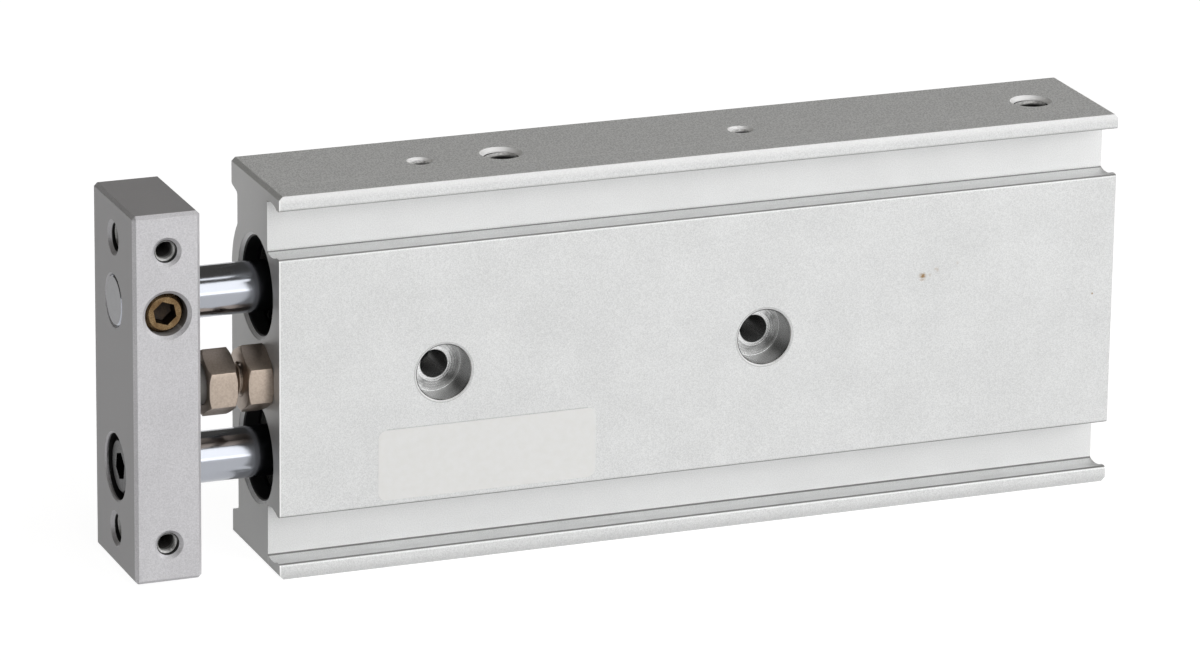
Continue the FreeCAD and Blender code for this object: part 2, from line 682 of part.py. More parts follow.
def make_plate_cap_screw():
    """Socket cap screw in the plate's counterbore that pulls the lower rod into its seat."""
    seat = plate_front + CAP_RECESS_DEPTH
    top = seat - CAP_HEAD_HEIGHT
    head = CAP_HEAD_DIAMETER / 2
    shank = CAP_SCREW_DIAMETER / 2
    outline = [
        (top, 0),
        (top, head - EDGE_BREAK),
        (top + EDGE_BREAK, head),
        (seat, head),
        (seat, shank),
        (cap_screw_end - EDGE_BREAK, shank),
        (cap_screw_end, shank - EDGE_BREAK),
        (cap_screw_end, 0),
    ]
    screw = turned(outline, 0, lower_rod_z)
    return screw.cut(hexagon_along_x(CAP_SOCKET, top - OVERCUT, top + CAP_SOCKET_DEPTH, 0, lower_rod_z))


def make_stop_nut():
    """Lock nut against the housing, bevelled on both sides."""
    nut = hexagon_along_x(HEX_ACROSS_FLATS, nut_front, housing_front, -STOP_OFFSET, half_height)
    nut = nut.common(corner_cone(nut_front, housing_front, True, True))
    radius = STOP_THREAD_DIAMETER / 2 + ADJUSTER_CLEARANCE
    for face, inward in ((nut_front, TOWARDS_REAR), (housing_front, -TOWARDS_REAR)):
        nut = nut.cut(hole(2 * radius, NUT_HEIGHT + OVERCUT, (face, -STOP_OFFSET, half_height), inward,
                           2 * radius + 2 * EDGE_BREAK, pointed=False))
    return nut


def make_stop_bolt():
    """Hexagon bolt whose head carries the stop pad."""
    head = hexagon_along_x(HEX_ACROSS_FLATS, head_front, head_back, -STOP_OFFSET, half_height)
    head = head.common(corner_cone(head_front, head_back, False, True))
    radius = STOP_THREAD_DIAMETER / 2
    end = housing_front + BOLT_ENGAGEMENT
    shank = turned([(head_back, 0), (head_back, radius), (end - 2 * EDGE_BREAK, radius),
                    (end, radius - 2 * EDGE_BREAK), (end, 0)], -STOP_OFFSET, half_height)
    pad_seat = rod_between(PAD_DIAMETER / 2 + SEAT_CLEARANCE, head_front - OVERCUT,
                           head_front + PAD_SEAT_DEPTH, -STOP_OFFSET, half_height)
    return head.fuse(shank).cut(pad_seat).removeSplitter()


def make_stop_pad():
    """Polyurethane pad that meets the plate at the end of its return."""
    start = plate_back + PAD_CLEARANCE
    end = head_front + PAD_SEAT_DEPTH
    radius = PAD_DIAMETER / 2
    return turned([(start, 0), (start, radius - EDGE_BREAK), (start + EDGE_BREAK, radius), (end, radius),
                   (end, 0)], -STOP_OFFSET, half_height)


def write(node, shape):
    """Write one node's STEP file."""
    shape.exportStep(f"parts/{node}.step")


def main():
    """Build every node in its place."""
    os.makedirs("parts", exist_ok=True)
    write("housing", make_housing())
    write("plate", make_plate())
    write("plate_cap_screw", make_plate_cap_screw())
    write("rod_clamp_screw", make_rod_clamp_screw())
    write("stop_nut", make_stop_nut())
    write("stop_bolt", make_stop_bolt())
    write("stop_pad", make_stop_pad())
    write("piston_rod_upper", make_piston_rod(plate_front, False, upper_rod_z))
    write("piston_rod_lower", make_piston_rod(plate_back - ROD_SEAT_DEPTH, True, lower_rod_z))
    front_ring_seat = housing_front + cover_seat
    rear_ring_seat = housing_front + head_cover_end
    for level, rod_z in rod_levels.items():
        write(f"front_retaining_ring_{level}", make_retaining_ring(front_ring_seat, 1, rod_z))
        write(f"seal_retainer_{level}", make_seal_retainer(rod_z))
        write(f"rod_seal_{level}", make_rod_seal(rod_z))
        write(f"rod_cover_{level}", make_rod_cover(rod_z))
        write(f"rod_cover_o_ring_{level}", make_rod_cover_o_ring(rod_z))
        write(f"front_bumper_{level}", make_front_bumper(rod_z))
        write(f"piston_{level}", make_piston(rod_z))
        write(f"piston_seal_{level}", make_piston_seal(rod_z))
        write(f"magnet_{level}", make_magnet(rod_z))
        write(f"rear_bumper_{level}", make_rear_bumper(rod_z))
        write(f"head_cover_{level}", make_head_cover(rod_z))
        write(f"head_cover_o_ring_{level}", make_head_cover_o_ring(rod_z))
        write(f"rear_retaining_ring_{level}", make_retaining_ring(rear_ring_seat, -1, rod_z))


main()
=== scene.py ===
"""Looks of the twin-rod guided pneumatic cylinder: finishes, threads, label and studio."""

import functools
import logging
import math
from collections.abc import Callable, Iterator
from contextlib import contextmanager
from dataclasses import dataclass
from enum import Enum
from typing import NamedTuple

import bmesh
import bpy
from mathutils import Matrix, Vector


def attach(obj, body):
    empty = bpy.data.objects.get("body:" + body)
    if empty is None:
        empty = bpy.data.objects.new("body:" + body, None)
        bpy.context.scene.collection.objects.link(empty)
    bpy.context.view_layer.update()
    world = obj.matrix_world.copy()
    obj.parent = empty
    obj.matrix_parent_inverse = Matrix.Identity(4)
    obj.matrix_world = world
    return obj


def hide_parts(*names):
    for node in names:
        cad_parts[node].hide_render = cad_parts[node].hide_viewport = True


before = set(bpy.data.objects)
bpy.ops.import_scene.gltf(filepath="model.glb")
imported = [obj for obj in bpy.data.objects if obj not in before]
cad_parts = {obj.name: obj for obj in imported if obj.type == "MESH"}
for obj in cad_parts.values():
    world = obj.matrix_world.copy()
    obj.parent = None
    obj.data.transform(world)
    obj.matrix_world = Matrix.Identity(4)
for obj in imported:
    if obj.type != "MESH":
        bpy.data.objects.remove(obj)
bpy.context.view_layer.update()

LOG = logging.getLogger("cylinder")
MM = 0.001

# Driving sizes in millimetres, in the frame's axes: x runs from the end plate to the
# rear end, y from the front face to the back, and z up from the table.
BORE_MIDDLE = 23.0              # height between the two bores
BORE_HALF_PITCH = 10.0          # from there to each bore
BOLT_MIDDLE = -4.0              # place along x between the two bolt holes
BOLT_HALF_PITCH = 20.0
BODY_FRONT_END = -44.0
BODY_HALF_WIDTH = 8.5
BODY_HEIGHT = 46.0
PLATE_HALF_THICKNESS = 4.0
PLATE_FACE = -61.0
PLATE_MIDDLE = PLATE_FACE + PLATE_HALF_THICKNESS
PLATE_HALF_WIDTH = 7.5
PLATE_TAP_HALF_PITCH = 17.5     # from the bores' middle to the plate's tapped holes

TAN30 = math.tan(math.radians(30))
COS30 = math.cos(math.radians(30))
UP = Vector((0, 0, 1))
FRONT_END = Vector((-1, 0, 0))
NEAR = Vector((0, -1, 0))
BACK = Vector((0, 1, 0))

Socket = bpy.types.NodeSocket
Value = float | int | str | bool | tuple | Socket
Piece = bpy.types.Object
Point = tuple[float, float, float]
Span = tuple[float, float]
Fade = tuple[float, float, float]


class Axis(Enum):
    """The three directions a hole or a shaft may follow."""

    X = 0
    Y = 1
    Z = 2


class Body(Enum):
    """The bodies of the frame that new pieces ride on."""

    HOUSING = "housing"
    CARRIAGE = "carriage"
    STOP_BOLT = "stop_bolt"


# ---------------------------------------------------------------- colour and nodes


def linear(colour: str) -> tuple[float, float, float, float]:
    """Turn an sRGB hex colour into the linear values of a colour socket.

    Args:
        colour: Six hex digits after a hash.

    Returns:
        Red, green, blue and a full alpha.
    """
    parts = [int(colour[i : i + 2], 16) / 255 for i in (1, 3, 5)]
    red, green, blue = (
        c / 12.92 if c <= 0.04045 else ((c + 0.055) / 1.055) ** 2.4 for c in parts
    )
    return (red, green, blue, 1.0)


def scale_of(size: float) -> float:
    """Give the texture scale whose grains are the given size in millimetres."""
    return 1 / (size * MM)


@dataclass
class Shader:
    """A material's node tree while it is being wired.

    The coordinates that it wires are in metres, and the limits it is given in millimetres.
    """

    tree: bpy.types.NodeTree

    def feed(self, node: bpy.types.Node, name: str | int, value: Value) -> None:
        """Give a socket its value, or link another node's output to it.

        Args:
            node: The node that is fed.
            name: The socket's name or number.
            value: The value or the output.
        """
        if isinstance(value, Socket):
            self.tree.links.new(value, node.inputs[name])
        else:
            node.inputs[name].default_value = value

    def add(
        self,
        kind: str,
        settings: dict[str, Value] | None = None,
        inputs: dict[str | int, Value] | None = None,
    ) -> bpy.types.Node:
        """Add a node with its settings, its values and its links.

        Args:
            kind: The node's type, without the ShaderNode in front.
            settings: The node's own properties.
            inputs: A value or another node's output for each named socket.

        Returns:
            The new node.
        """
        node = self.tree.nodes.new("ShaderNode" + kind)
        for name, value in (settings or {}).items():
            setattr(node, name, value)
        for name, value in (inputs or {}).items():
            self.feed(node, name, value)
        return node

    def work(self, operation: str, *values: Value) -> Socket:
        """Work out one Math operation on values or outputs and give its result."""
        return self.add("Math", {"operation": operation}, dict(enumerate(values))).outputs[0]

    def past(self, value: Socket, start: float) -> Socket:
        """Give how far a coordinate lies past a place."""
        return self.work("SUBTRACT", value, start * MM)

    def away(self, value: Socket, middle: float) -> Socket:
        """Give how far a coordinate lies from a place, to either side."""
        return self.work("ABSOLUTE", self.past(value, middle))

    def share(self, mask: Socket, part: float) -> Socket:
        """Weaken a mask to a part of its strength."""
        return self.work("MULTIPLY", mask, part)

    def every(self, *masks: Socket) -> Socket:
        """Give 1 where every mask is 1."""
        return functools.reduce(lambda one, other: self.work("MULTIPLY", one, other), masks)

    def either(self, *masks: Socket) -> Socket:
        """Give the strongest of the masks."""
        return functools.reduce(lambda one, other: self.work("MAXIMUM", one, other), masks)

    def below(self, value: Socket, limit: float) -> Socket:
        """Give 1 where a coordinate is under a limit, and 0 elsewhere."""
        return self.work("LESS_THAN", value, limit * MM)

    def above(self, value: Socket, limit: float) -> Socket:
        """Give 1 where a coordinate is over a limit, and 0 elsewhere."""
        return self.work("GREATER_THAN", value, limit * MM)

    def between(self, value: Socket, low: float, high: float) -> Socket:
        """Give 1 where a coordinate lies between two limits, and 0 elsewhere."""
        return self.below(self.away(value, (low + high) / 2), (high - low) / 2)

    def ramp(self, value: Socket, start: float, end: float, full: float = 1.0) -> Socket:
        """Rise smoothly as a coordinate goes from a start to an end.

        Args:
            value: The coordinate.
            start: Where the mask is still 0.
            end: Where it is full. It may lie below the start.
            full: The mask's value there.

        Returns:
            The mask.
        """
        return self.add(
            "MapRange",
            {"interpolation_type": "SMOOTHSTEP"},
            {"Value": value, "From Min": start * MM, "From Max": end * MM, "To Max": full},
        ).outputs[0]

    def place(self) -> tuple[Socket, Socket, Socket]:
        """Give the x, y and z of the Object coordinates."""
        split = self.add("SeparateXYZ", inputs={0: self.add("TexCoord").outputs["Object"]})
        return split.outputs[0], split.outputs[1], split.outputs[2]

    def facing(self, axis: Axis, limit: float = 0.75) -> Socket:
        """Give 1 where the surface faces along an axis, either way, and 0 elsewhere.

        Args:
            axis: The axis.
            limit: The smallest part of the normal that lies along it.

        Returns:
            The mask.
        """
        normal = self.add("TexCoord").outputs["Normal"]
        split = self.add("SeparateXYZ", inputs={0: normal})
        side = self.work("ABSOLUTE", split.outputs[axis.value])
        return self.work("GREATER_THAN", side, limit)

    def from_axes(self, first: Socket, middle: float, half: float, second: Socket) -> Socket:
        """Give the distance from the nearer of two axes that stand side by side.

        Args:
            first: The coordinate along which the two axes stand apart.
            middle: Where their midpoint is.
            half: Half their distance.
            second: The other coordinate, measured from the axes' own plane.

        Returns:
            The distance in metres.
        """
        nearer = self.past(self.away(first, middle), half)
        square = self.work(
            "ADD", self.work("POWER", nearer, 2.0), self.work("POWER", second, 2.0)
        )
        return self.work("SQRT", square)

    def grain(self, size: float, stretch: Point = (1, 1, 1), detail: float = 2.0) -> Socket:
        """Draw a random grain on the Object coordinates.

        Args:
            size: Width of a grain.
            stretch: How many times longer a grain is along x, y and z.
            detail: Octaves of finer grain on top.

        Returns:
            The grain's height, from 0 to 1.
        """
        place = self.add("TexCoord").outputs["Object"]
        if stretch != (1, 1, 1):
            shrink = tuple(1 / s for s in stretch)
            place = self.add("Mapping", inputs={"Vector": place, "Scale": shrink}).outputs[0]
        return self.add(
            "TexNoise", inputs={"Vector": place, "Scale": scale_of(size), "Detail": detail}
        ).outputs["Fac"]

    def spread(self, height: Socket, low: float, high: float, reach: float = 0.2) -> Socket:
        """Spread the middle of a grain's heights, where most of them lie, over a range.

        Args:
            height: The grain's height.
            low: The result at the lower end of the middle.
            high: The result at its upper end.
            reach: How far the middle goes from 0.5, down and up.

        Returns:
            The result, which stays inside the range.
        """
        return self.add(
            "MapRange",
            inputs={
                "Value": height,
                "From Min": 0.5 - reach,
                "From Max": 0.5 + reach,
                "To Min": low,
                "To Max": high,
            },
        ).outputs[0]

    def rings(self, radius: Socket, pitch: float, waver: float = 0.35) -> Socket:
        """Draw the fine rings that a cutter leaves, uneven as a real tool's are.

        Args:
            radius: Distance from the axis in metres.
            pitch: Distance between rings.
            waver: Size of the random part of each ring.

        Returns:
            The ring's height, about 0 to 1.
        """
        line = self.add("CombineXYZ", inputs={0: radius}).outputs[0]
        noise = self.add(
            "TexNoise", inputs={"Vector": line, "Scale": scale_of(pitch * 2), "Detail": 3.0}
        ).outputs["Fac"]
        wave = self.work("SINE", self.work("MULTIPLY", radius, math.tau / (pitch * MM)))
        return self.work("ADD", noise, self.share(wave, 0.5 * (1 - waver)))

    def mix(self, factor: Value, first: Value, second: Value) -> Socket:
        """Mix two numbers by a factor and give the result."""
        return self.add("Mix", {"data_type": "FLOAT"}, {0: factor, 2: first, 3: second}).outputs[0]

    def tint(self, factor: Value, first: Value, second: Value) -> Socket:
        """Mix two colours, each wired or in hex, by a factor and give the result."""
        first, second = (linear(c) if isinstance(c, str) else c for c in (first, second))
        return self.add("Mix", {"data_type": "RGBA"}, {0: factor, 6: first, 7: second}).outputs[2]

    def bump(self, height: Socket, depth: float, under: Socket | None = None) -> Socket:
        """Raise the surface by a height pattern.

        Args:
            height: The pattern, 0 to 1.
            depth: The height of a full step.
            under: The normal of a coarser bump below this one.

        Returns:
            The bumped normal.
        """
        inputs = {"Height": height, "Strength": 1.0, "Distance": depth * MM}
        if under:
            inputs["Normal"] = under
        return self.add("Bump", inputs=inputs).outputs[0]


class Look(NamedTuple):
    """What a finish gives the surface, in the order of LOOK_SOCKETS."""

    colour: Value
    metallic: Value
    roughness: Value
    normal: Socket


LOOK_SOCKETS = ("Base Color", "Metallic", "Roughness", "Normal")


class Finish:
    """A surface finish: each kind wires its own colour, gloss and relief."""

    name: str
    light: str
    dark: str
    roughness: float
    # How far a grain takes the roughness down and up.
    uneven: Span

    def wire(self, shader: Shader) -> Look:
        """Wire the finish's patterns and give the surface's look."""
        raise NotImplementedError

    def tone(self, shader: Shader, grain: Socket) -> Socket:
        """Let the colour follow a grain, from the dark tone to the light one."""
        return shader.tint(shader.spread(grain, 0.0, 1.0), self.dark, self.light)

    def gloss(self, shader: Shader, grain: Socket, reach: float = 0.2) -> Socket:
        """Let the roughness follow a grain, whose middle reaches so far from 0.5."""
        less, more = self.uneven
        return shader.spread(grain, self.roughness - less, self.roughness + more, reach)

    def material(self) -> bpy.types.Material:
        """Make the finish's material, or give the one made before.

        Returns:
            The material, ready for any piece.
        """
        made = bpy.data.materials.get(self.name)
        if made:
            return made
        material = bpy.data.materials.new(self.name)
        material.use_nodes = True
        shader = Shader(material.node_tree)
        principled = material.node_tree.nodes["Principled BSDF"]
        for socket, value in zip(LOOK_SOCKETS, self.wire(shader)):
            shader.feed(principled, socket, value)
        return material


# ---------------------------------------------------------------- finishes


class Spot(NamedTuple):
    """Where a point of the body lies: each value is a wired coordinate.

    The level is the height from the section's middle, up or down, and the last two are
    the distances from the nearer bore's axis and from the nearer bolt hole's.
    """

    x: Socket
    y: Socket
    z: Socket
    level: Socket
    from_bore: Socket
    from_bolt: Socket


@dataclass(frozen=True)
class AnodisedExtrusion(Finish):
    """Clear-anodised aluminium section, etched matt, with milled ends and counterbores.

    The etch leaves a fine frosted grain that spreads the light evenly over the long
    faces. The ends, the counterbores and the edges show bare cutter marks instead.
    Lengths are in millimetres, and levels are heights from the section's middle.
    """

    name: str = "clear_anodised_aluminium_extrusion"
    light: str = "#EFF0F0"
    dark: str = "#D2D3D3"
    # The ends' grey: the milled metal's own colour, darkened further as painted shade.
    milled: str = "#B0B0AF"
    # Painted shade on the counterbores' walls.
    wall_shade: str = "#787877"
    # Grey of the dark lines, most of them painted shade.
    shade_and_line_grey: str = "#8F8F8E"
    # Painted shade in the bores and holes, with their oily film, and the oily smear in the
    # counterbores.
    oil_and_shade: str = "#2A2A2A"
    # Painted highlights on chamfers, rounded edges, slot floors and the ends' upper halves.
    lightened: str = "#FFFFFF"
    stain: str = "#9A7B50"
    metallic: float = 0.32
    roughness: float = 0.46
    uneven: Span = (0.04, 0.05)
    # The true etch is about 0.02 mm; it is drawn at 0.13 mm so that it shows.
    etch: float = 0.13
    etch_depth: float = 0.006
    # Where the die drags the etch it makes flecks, this wide. Then how strongly the even
    # etch shows, and how strongly the flecks do.
    fleck: float = 0.169
    etch_strength: float = 2.2
    fleck_strength: float = 9.0
    # The slow clouds of the film: their size and the tones between which they drift.
    cloud: float = 6.0
    cloud_tone: Span = (0.4, 0.6)
    # The rings of the counterbore's cutter, and the arcs of the wide one on the ends.
    ring_pitch: float = 0.3
    ring_depth: float = 0.005
    arc_pitch: float = 0.5
    arc_waver: float = 0.8
    arc_centre: float = -30.0
    cutter_metallic: float = 0.8
    cutter_roughness: float = 0.27
    # The front face alone, with its rounded top edge, and with all its edges.
    face_y: float = -8.42
    top_edge_y: float = -8.32
    edges_y: float = -8.17
    # The floor of the sensor slots and the two corners beside it.
    floor_y: Span = (-4.4, -4.2)
    corner_y: Span = (-4.5, -4.2)
    face_level: float = 15.55
    crown_level: float = 22.1
    # Levels of the dark lines of painted shade: on the face's edges beside each slot, and in the
    # slot's corners.
    face_shade_lines: tuple[Span, Span] = ((15.38, 15.52), (21.13, 21.27))
    corner_shade_lines: tuple[Span, Span] = ((15.2, 15.38), (21.25, 21.43))
    # The counterbores' depth and floor, and the radii of all that is cut, of the wall,
    # of the rim, of the line beside it and of the oily smear on the floor.
    counterbore_y: Span = (-8.45, 8.45)
    counterbore_floor: float = -5.05
    sunk: float = 3.4
    wall: float = 3.22
    # The rim gets a painted highlight.
    rim: Span = (3.3, 3.46)
    ring_line: Span = (3.56, 3.68)
    smear: Span = (2.1, 3.05)
    smear_size: float = 1.7
    smear_strength: Span = (-0.2, 0.6)
    # The bores between the plate's end and the rear end, and the front rim's bevel, which gets a
    # painted highlight.
    bore_radius: float = 6.2
    bore_ends: Span = (-43.6, 60.6)
    bore_rim: Span = (5.7, 6.2)
    bolt_radius: float = 1.8
    # The tapped holes and the ports: half their width and their levels, then their mouths, which
    # get a painted highlight.
    tap_y: Span = (-2.3, 2.3)
    tap_levels: Span = (17.0, 22.45)
    mouth_y: Span = (-2.7, 2.7)
    mouth_levels: Span = (22.45, 22.985)
    # A painted highlight along the front face's edge at the front end.
    front_edge: Span = (-44.1, -43.84)
    # The label's top edge, above which a thin dark line is drawn.
    label_x: Span = (-31.0, -6.15)
    label_z: Span = (16.7, 16.82)
    # Marks that fade with height, painted shade at the foot and painted highlights at the crown
    # and on the ends: where each starts, where it is full and its strength.
    foot_shade: Fade = (1.3, 0.1, 0.3)
    painted_crown_highlight: Fade = (44.9, 45.7, 0.45)
    painted_end_highlight: Fade = (14.0, 42.0, 0.3)
    # Strengths of the marks that only just show.
    faint: float = 0.4
    # Painted light on the slot floors, where the lips shade them.
    painted_floor_light: float = 0.35
    drilled_oil_and_shade: float = 0.15
    # How much darker the ends are: their milled metal and painted shade.
    end_milling_and_shade: float = 0.75
    # The ragged edge of the stains, and each one: its place along x, its height from
    # the middle, its radius and its strength.
    stain_grain: float = 0.25
    stain_strength: Span = (0.0, 1.6)
    stains: tuple[tuple[float, float, float, float], ...] = (
        (36.1, 5.35, 0.7, 1.0),
        (37.0, 5.5, 0.35, 0.3),
        (37.9, 6.0, 0.45, 0.5),
        (40.6, 6.6, 0.35, 0.2),
        (58.4, 0.95, 0.22, 0.9),
    )

    def spot(self, shader: Shader) -> Spot:
        """Wire the coordinates that the marks are placed by.

        Args:
            shader: The material being wired.

        Returns:
            The coordinates.
        """
        x, y, z = shader.place()
        height = shader.past(z, BORE_MIDDLE)
        level = shader.work("ABSOLUTE", height)
        from_bore = shader.from_axes(z, BORE_MIDDLE, BORE_HALF_PITCH, y)
        from_bolt = shader.from_axes(x, BOLT_MIDDLE, BOLT_HALF_PITCH, height)
        return Spot(x, y, z, level, from_bore, from_bolt)

    def film(self, shader: Shader, spot: Spot) -> tuple[Socket, Socket]:
        """Draw the etched film, with longer flecks where the die drags the etch.

        Args:
            shader: The material being wired.
            spot: The coordinates.

        Returns:
            The film's colour and the etch's height.
        """
        flat = shader.every(shader.facing(Axis.Z), shader.above(spot.level, self.crown_level))
        etch = shader.mix(
            flat,
            shader.grain(self.etch, detail=3.0),
            shader.grain(self.fleck, stretch=(1, 2, 1)),
        )
        strength = shader.mix(flat, self.etch_strength, self.fleck_strength)
        frost = shader.work("MULTIPLY", shader.work("SUBTRACT", etch, 0.5), strength)
        cloud = shader.spread(shader.grain(self.cloud), *self.cloud_tone)
        return shader.tint(shader.work("ADD", frost, cloud), self.dark, self.light), etch

    def oil_and_shade_mask(self, shader: Shader, spot: Spot) -> Socket:
        """Find the bores, the bolt holes and the top taps, which get painted shade as well as an
        oily film.

        Args:
            shader: The material being wired.
            spot: The coordinates.

        Returns:
            The mask.
        """
        inside = shader.between(spot.x, *self.bore_ends)
        bore = shader.every(shader.below(spot.from_bore, self.bore_radius), inside)
        tap = shader.every(
            shader.between(spot.y, *self.tap_y),
            shader.between(spot.level, *self.tap_levels),
            inside,
        )
        drilled = shader.below(spot.from_bolt, self.bolt_radius)
        return shader.either(bore, shader.share(drilled, self.drilled_oil_and_shade), tap)

    def shade_and_lines(self, shader: Shader, spot: Spot) -> Socket:
        """Find the dark lines: painted shade along the slots' edges and corners and at the foot, a
        thin line above the label and a ring round each counterbore.

        Args:
            shader: The material being wired.
            spot: The coordinates.

        Returns:
            The mask.
        """
        front = shader.below(spot.y, self.edges_y)
        corner = shader.between(spot.y, *self.corner_y)
        shade_and_lines = [
            shader.every(side, shader.between(spot.level, *levels))
            for side, places in ((front, self.face_shade_lines), (corner, self.corner_shade_lines))
            for levels in places
        ]
        # A thin dark line on the face just above the label's top edge.
        dust = shader.every(
            front,
            shader.between(spot.x, *self.label_x),
            shader.between(spot.z, *self.label_z),
        )
        ring_line = shader.every(front, shader.between(spot.from_bolt, *self.ring_line))
        return shader.either(
            *shade_and_lines,
            # Painted shade, darker towards the foot where the section meets the table.
            shader.ramp(spot.z, *self.foot_shade),
            shader.share(dust, self.faint),
            shader.share(ring_line, self.faint),
        )

    def painted_highlights(self, shader: Shader, spot: Spot) -> Socket:
        """Find the chamfers, rounded edges, slot floors and upper ends that get painted
        highlights.

        Args:
            shader: The material being wired.
            spot: The coordinates.

        Returns:
            The mask.
        """
        face = shader.below(spot.y, self.face_y)
        floor = shader.every(
            shader.between(spot.y, *self.floor_y), shader.above(spot.level, self.face_level)
        )
        return shader.either(
            shader.every(face, shader.between(spot.from_bolt, *self.rim)),
            shader.every(face, shader.between(spot.x, *self.front_edge)),
            # Painted highlight: the upper half of each end is made brighter towards the top.
            shader.every(shader.facing(Axis.X), shader.ramp(spot.z, *self.painted_end_highlight)),
            shader.share(floor, self.painted_floor_light),
            shader.every(
                shader.between(spot.from_bore, *self.bore_rim),
                shader.below(spot.x, self.bore_ends[0]),
            ),
            shader.every(
                shader.below(spot.y, self.top_edge_y), shader.ramp(spot.z, *self.painted_crown_highlight)
            ),
            shader.every(
                shader.between(spot.y, *self.mouth_y),
                shader.between(spot.level, *self.mouth_levels),
                shader.between(spot.x, *self.bore_ends),
            ),
        )

    def marks(self, shader: Shader, spot: Spot) -> Socket:
        """Find the small brown stains on the front face.

        Args:
            shader: The material being wired.
            spot: The coordinates.

        Returns:
            The mask.
        """
        ragged = shader.spread(
            shader.grain(self.stain_grain, stretch=(2, 1, 1)), *self.stain_strength
        )
        spots = [
            shader.ramp(
                shader.from_axes(spot.x, across, 0.0, shader.past(spot.z, BORE_MIDDLE + up)),
                radius,
                0.0,
                strength,
            )
            for across, up, radius, strength in self.stains
        ]
        return shader.every(shader.either(*spots), ragged, shader.below(spot.y, self.face_y))

    def wire(self, shader: Shader) -> Look:
        """Wire the film, the milled ends with painted shade, the counterbores, the holes' painted
        shade and oily film, and the painted highlights and dark lines.

        Args:
            shader: The material being wired.

        Returns:
            The surface's look.
        """
        spot = self.spot(shader)
        colour, etch = self.film(shader, spot)
        ends = shader.facing(Axis.X)
        sunk = shader.every(
            shader.below(spot.from_bolt, self.sunk), shader.between(spot.y, *self.counterbore_y)
        )
        wall = shader.every(
            sunk,
            shader.above(spot.from_bolt, self.wall),
            shader.below(spot.y, self.counterbore_floor),
        )
        smear = shader.every(
            sunk,
            shader.between(spot.from_bolt, *self.smear),
            shader.spread(shader.grain(self.smear_size), *self.smear_strength),
        )
        # Paint the marks in turn: the ends' grey with painted shade, the walls' painted shade, the
        # oily smear, the painted highlights, the dark lines of painted shade, the stains, and the
        # holes' painted shade with their oily film.
        for mask, paint in (
            (shader.share(ends, self.end_milling_and_shade), self.milled),
            (wall, self.wall_shade),
            (smear, self.oil_and_shade),
            (self.painted_highlights(shader, spot), self.lightened),
            (self.shade_and_lines(shader, spot), self.shade_and_line_grey),
            (self.marks(shader, spot), self.stain),
            (self.oil_and_shade_mask(shader, spot), self.oil_and_shade),
        ):
            colour = shader.tint(mask, colour, paint)
        rings = shader.rings(spot.from_bolt, self.ring_pitch)
        sweep = shader.from_axes(
            spot.z, BORE_MIDDLE, 0.0, shader.past(spot.y, self.arc_centre)
        )
        arcs = shader.rings(sweep, self.arc_pitch, self.arc_waver)
        cut_marks = shader.mix(sunk, shader.mix(ends, 0.5, arcs), rings)
        return Look(
            colour,
            shader.mix(sunk, self.metallic, self.cutter_metallic),
            shader.mix(sunk, self.gloss(shader, etch), self.cutter_roughness),
            shader.bump(etch, self.etch_depth, shader.bump(cut_marks, self.ring_depth)),
        )


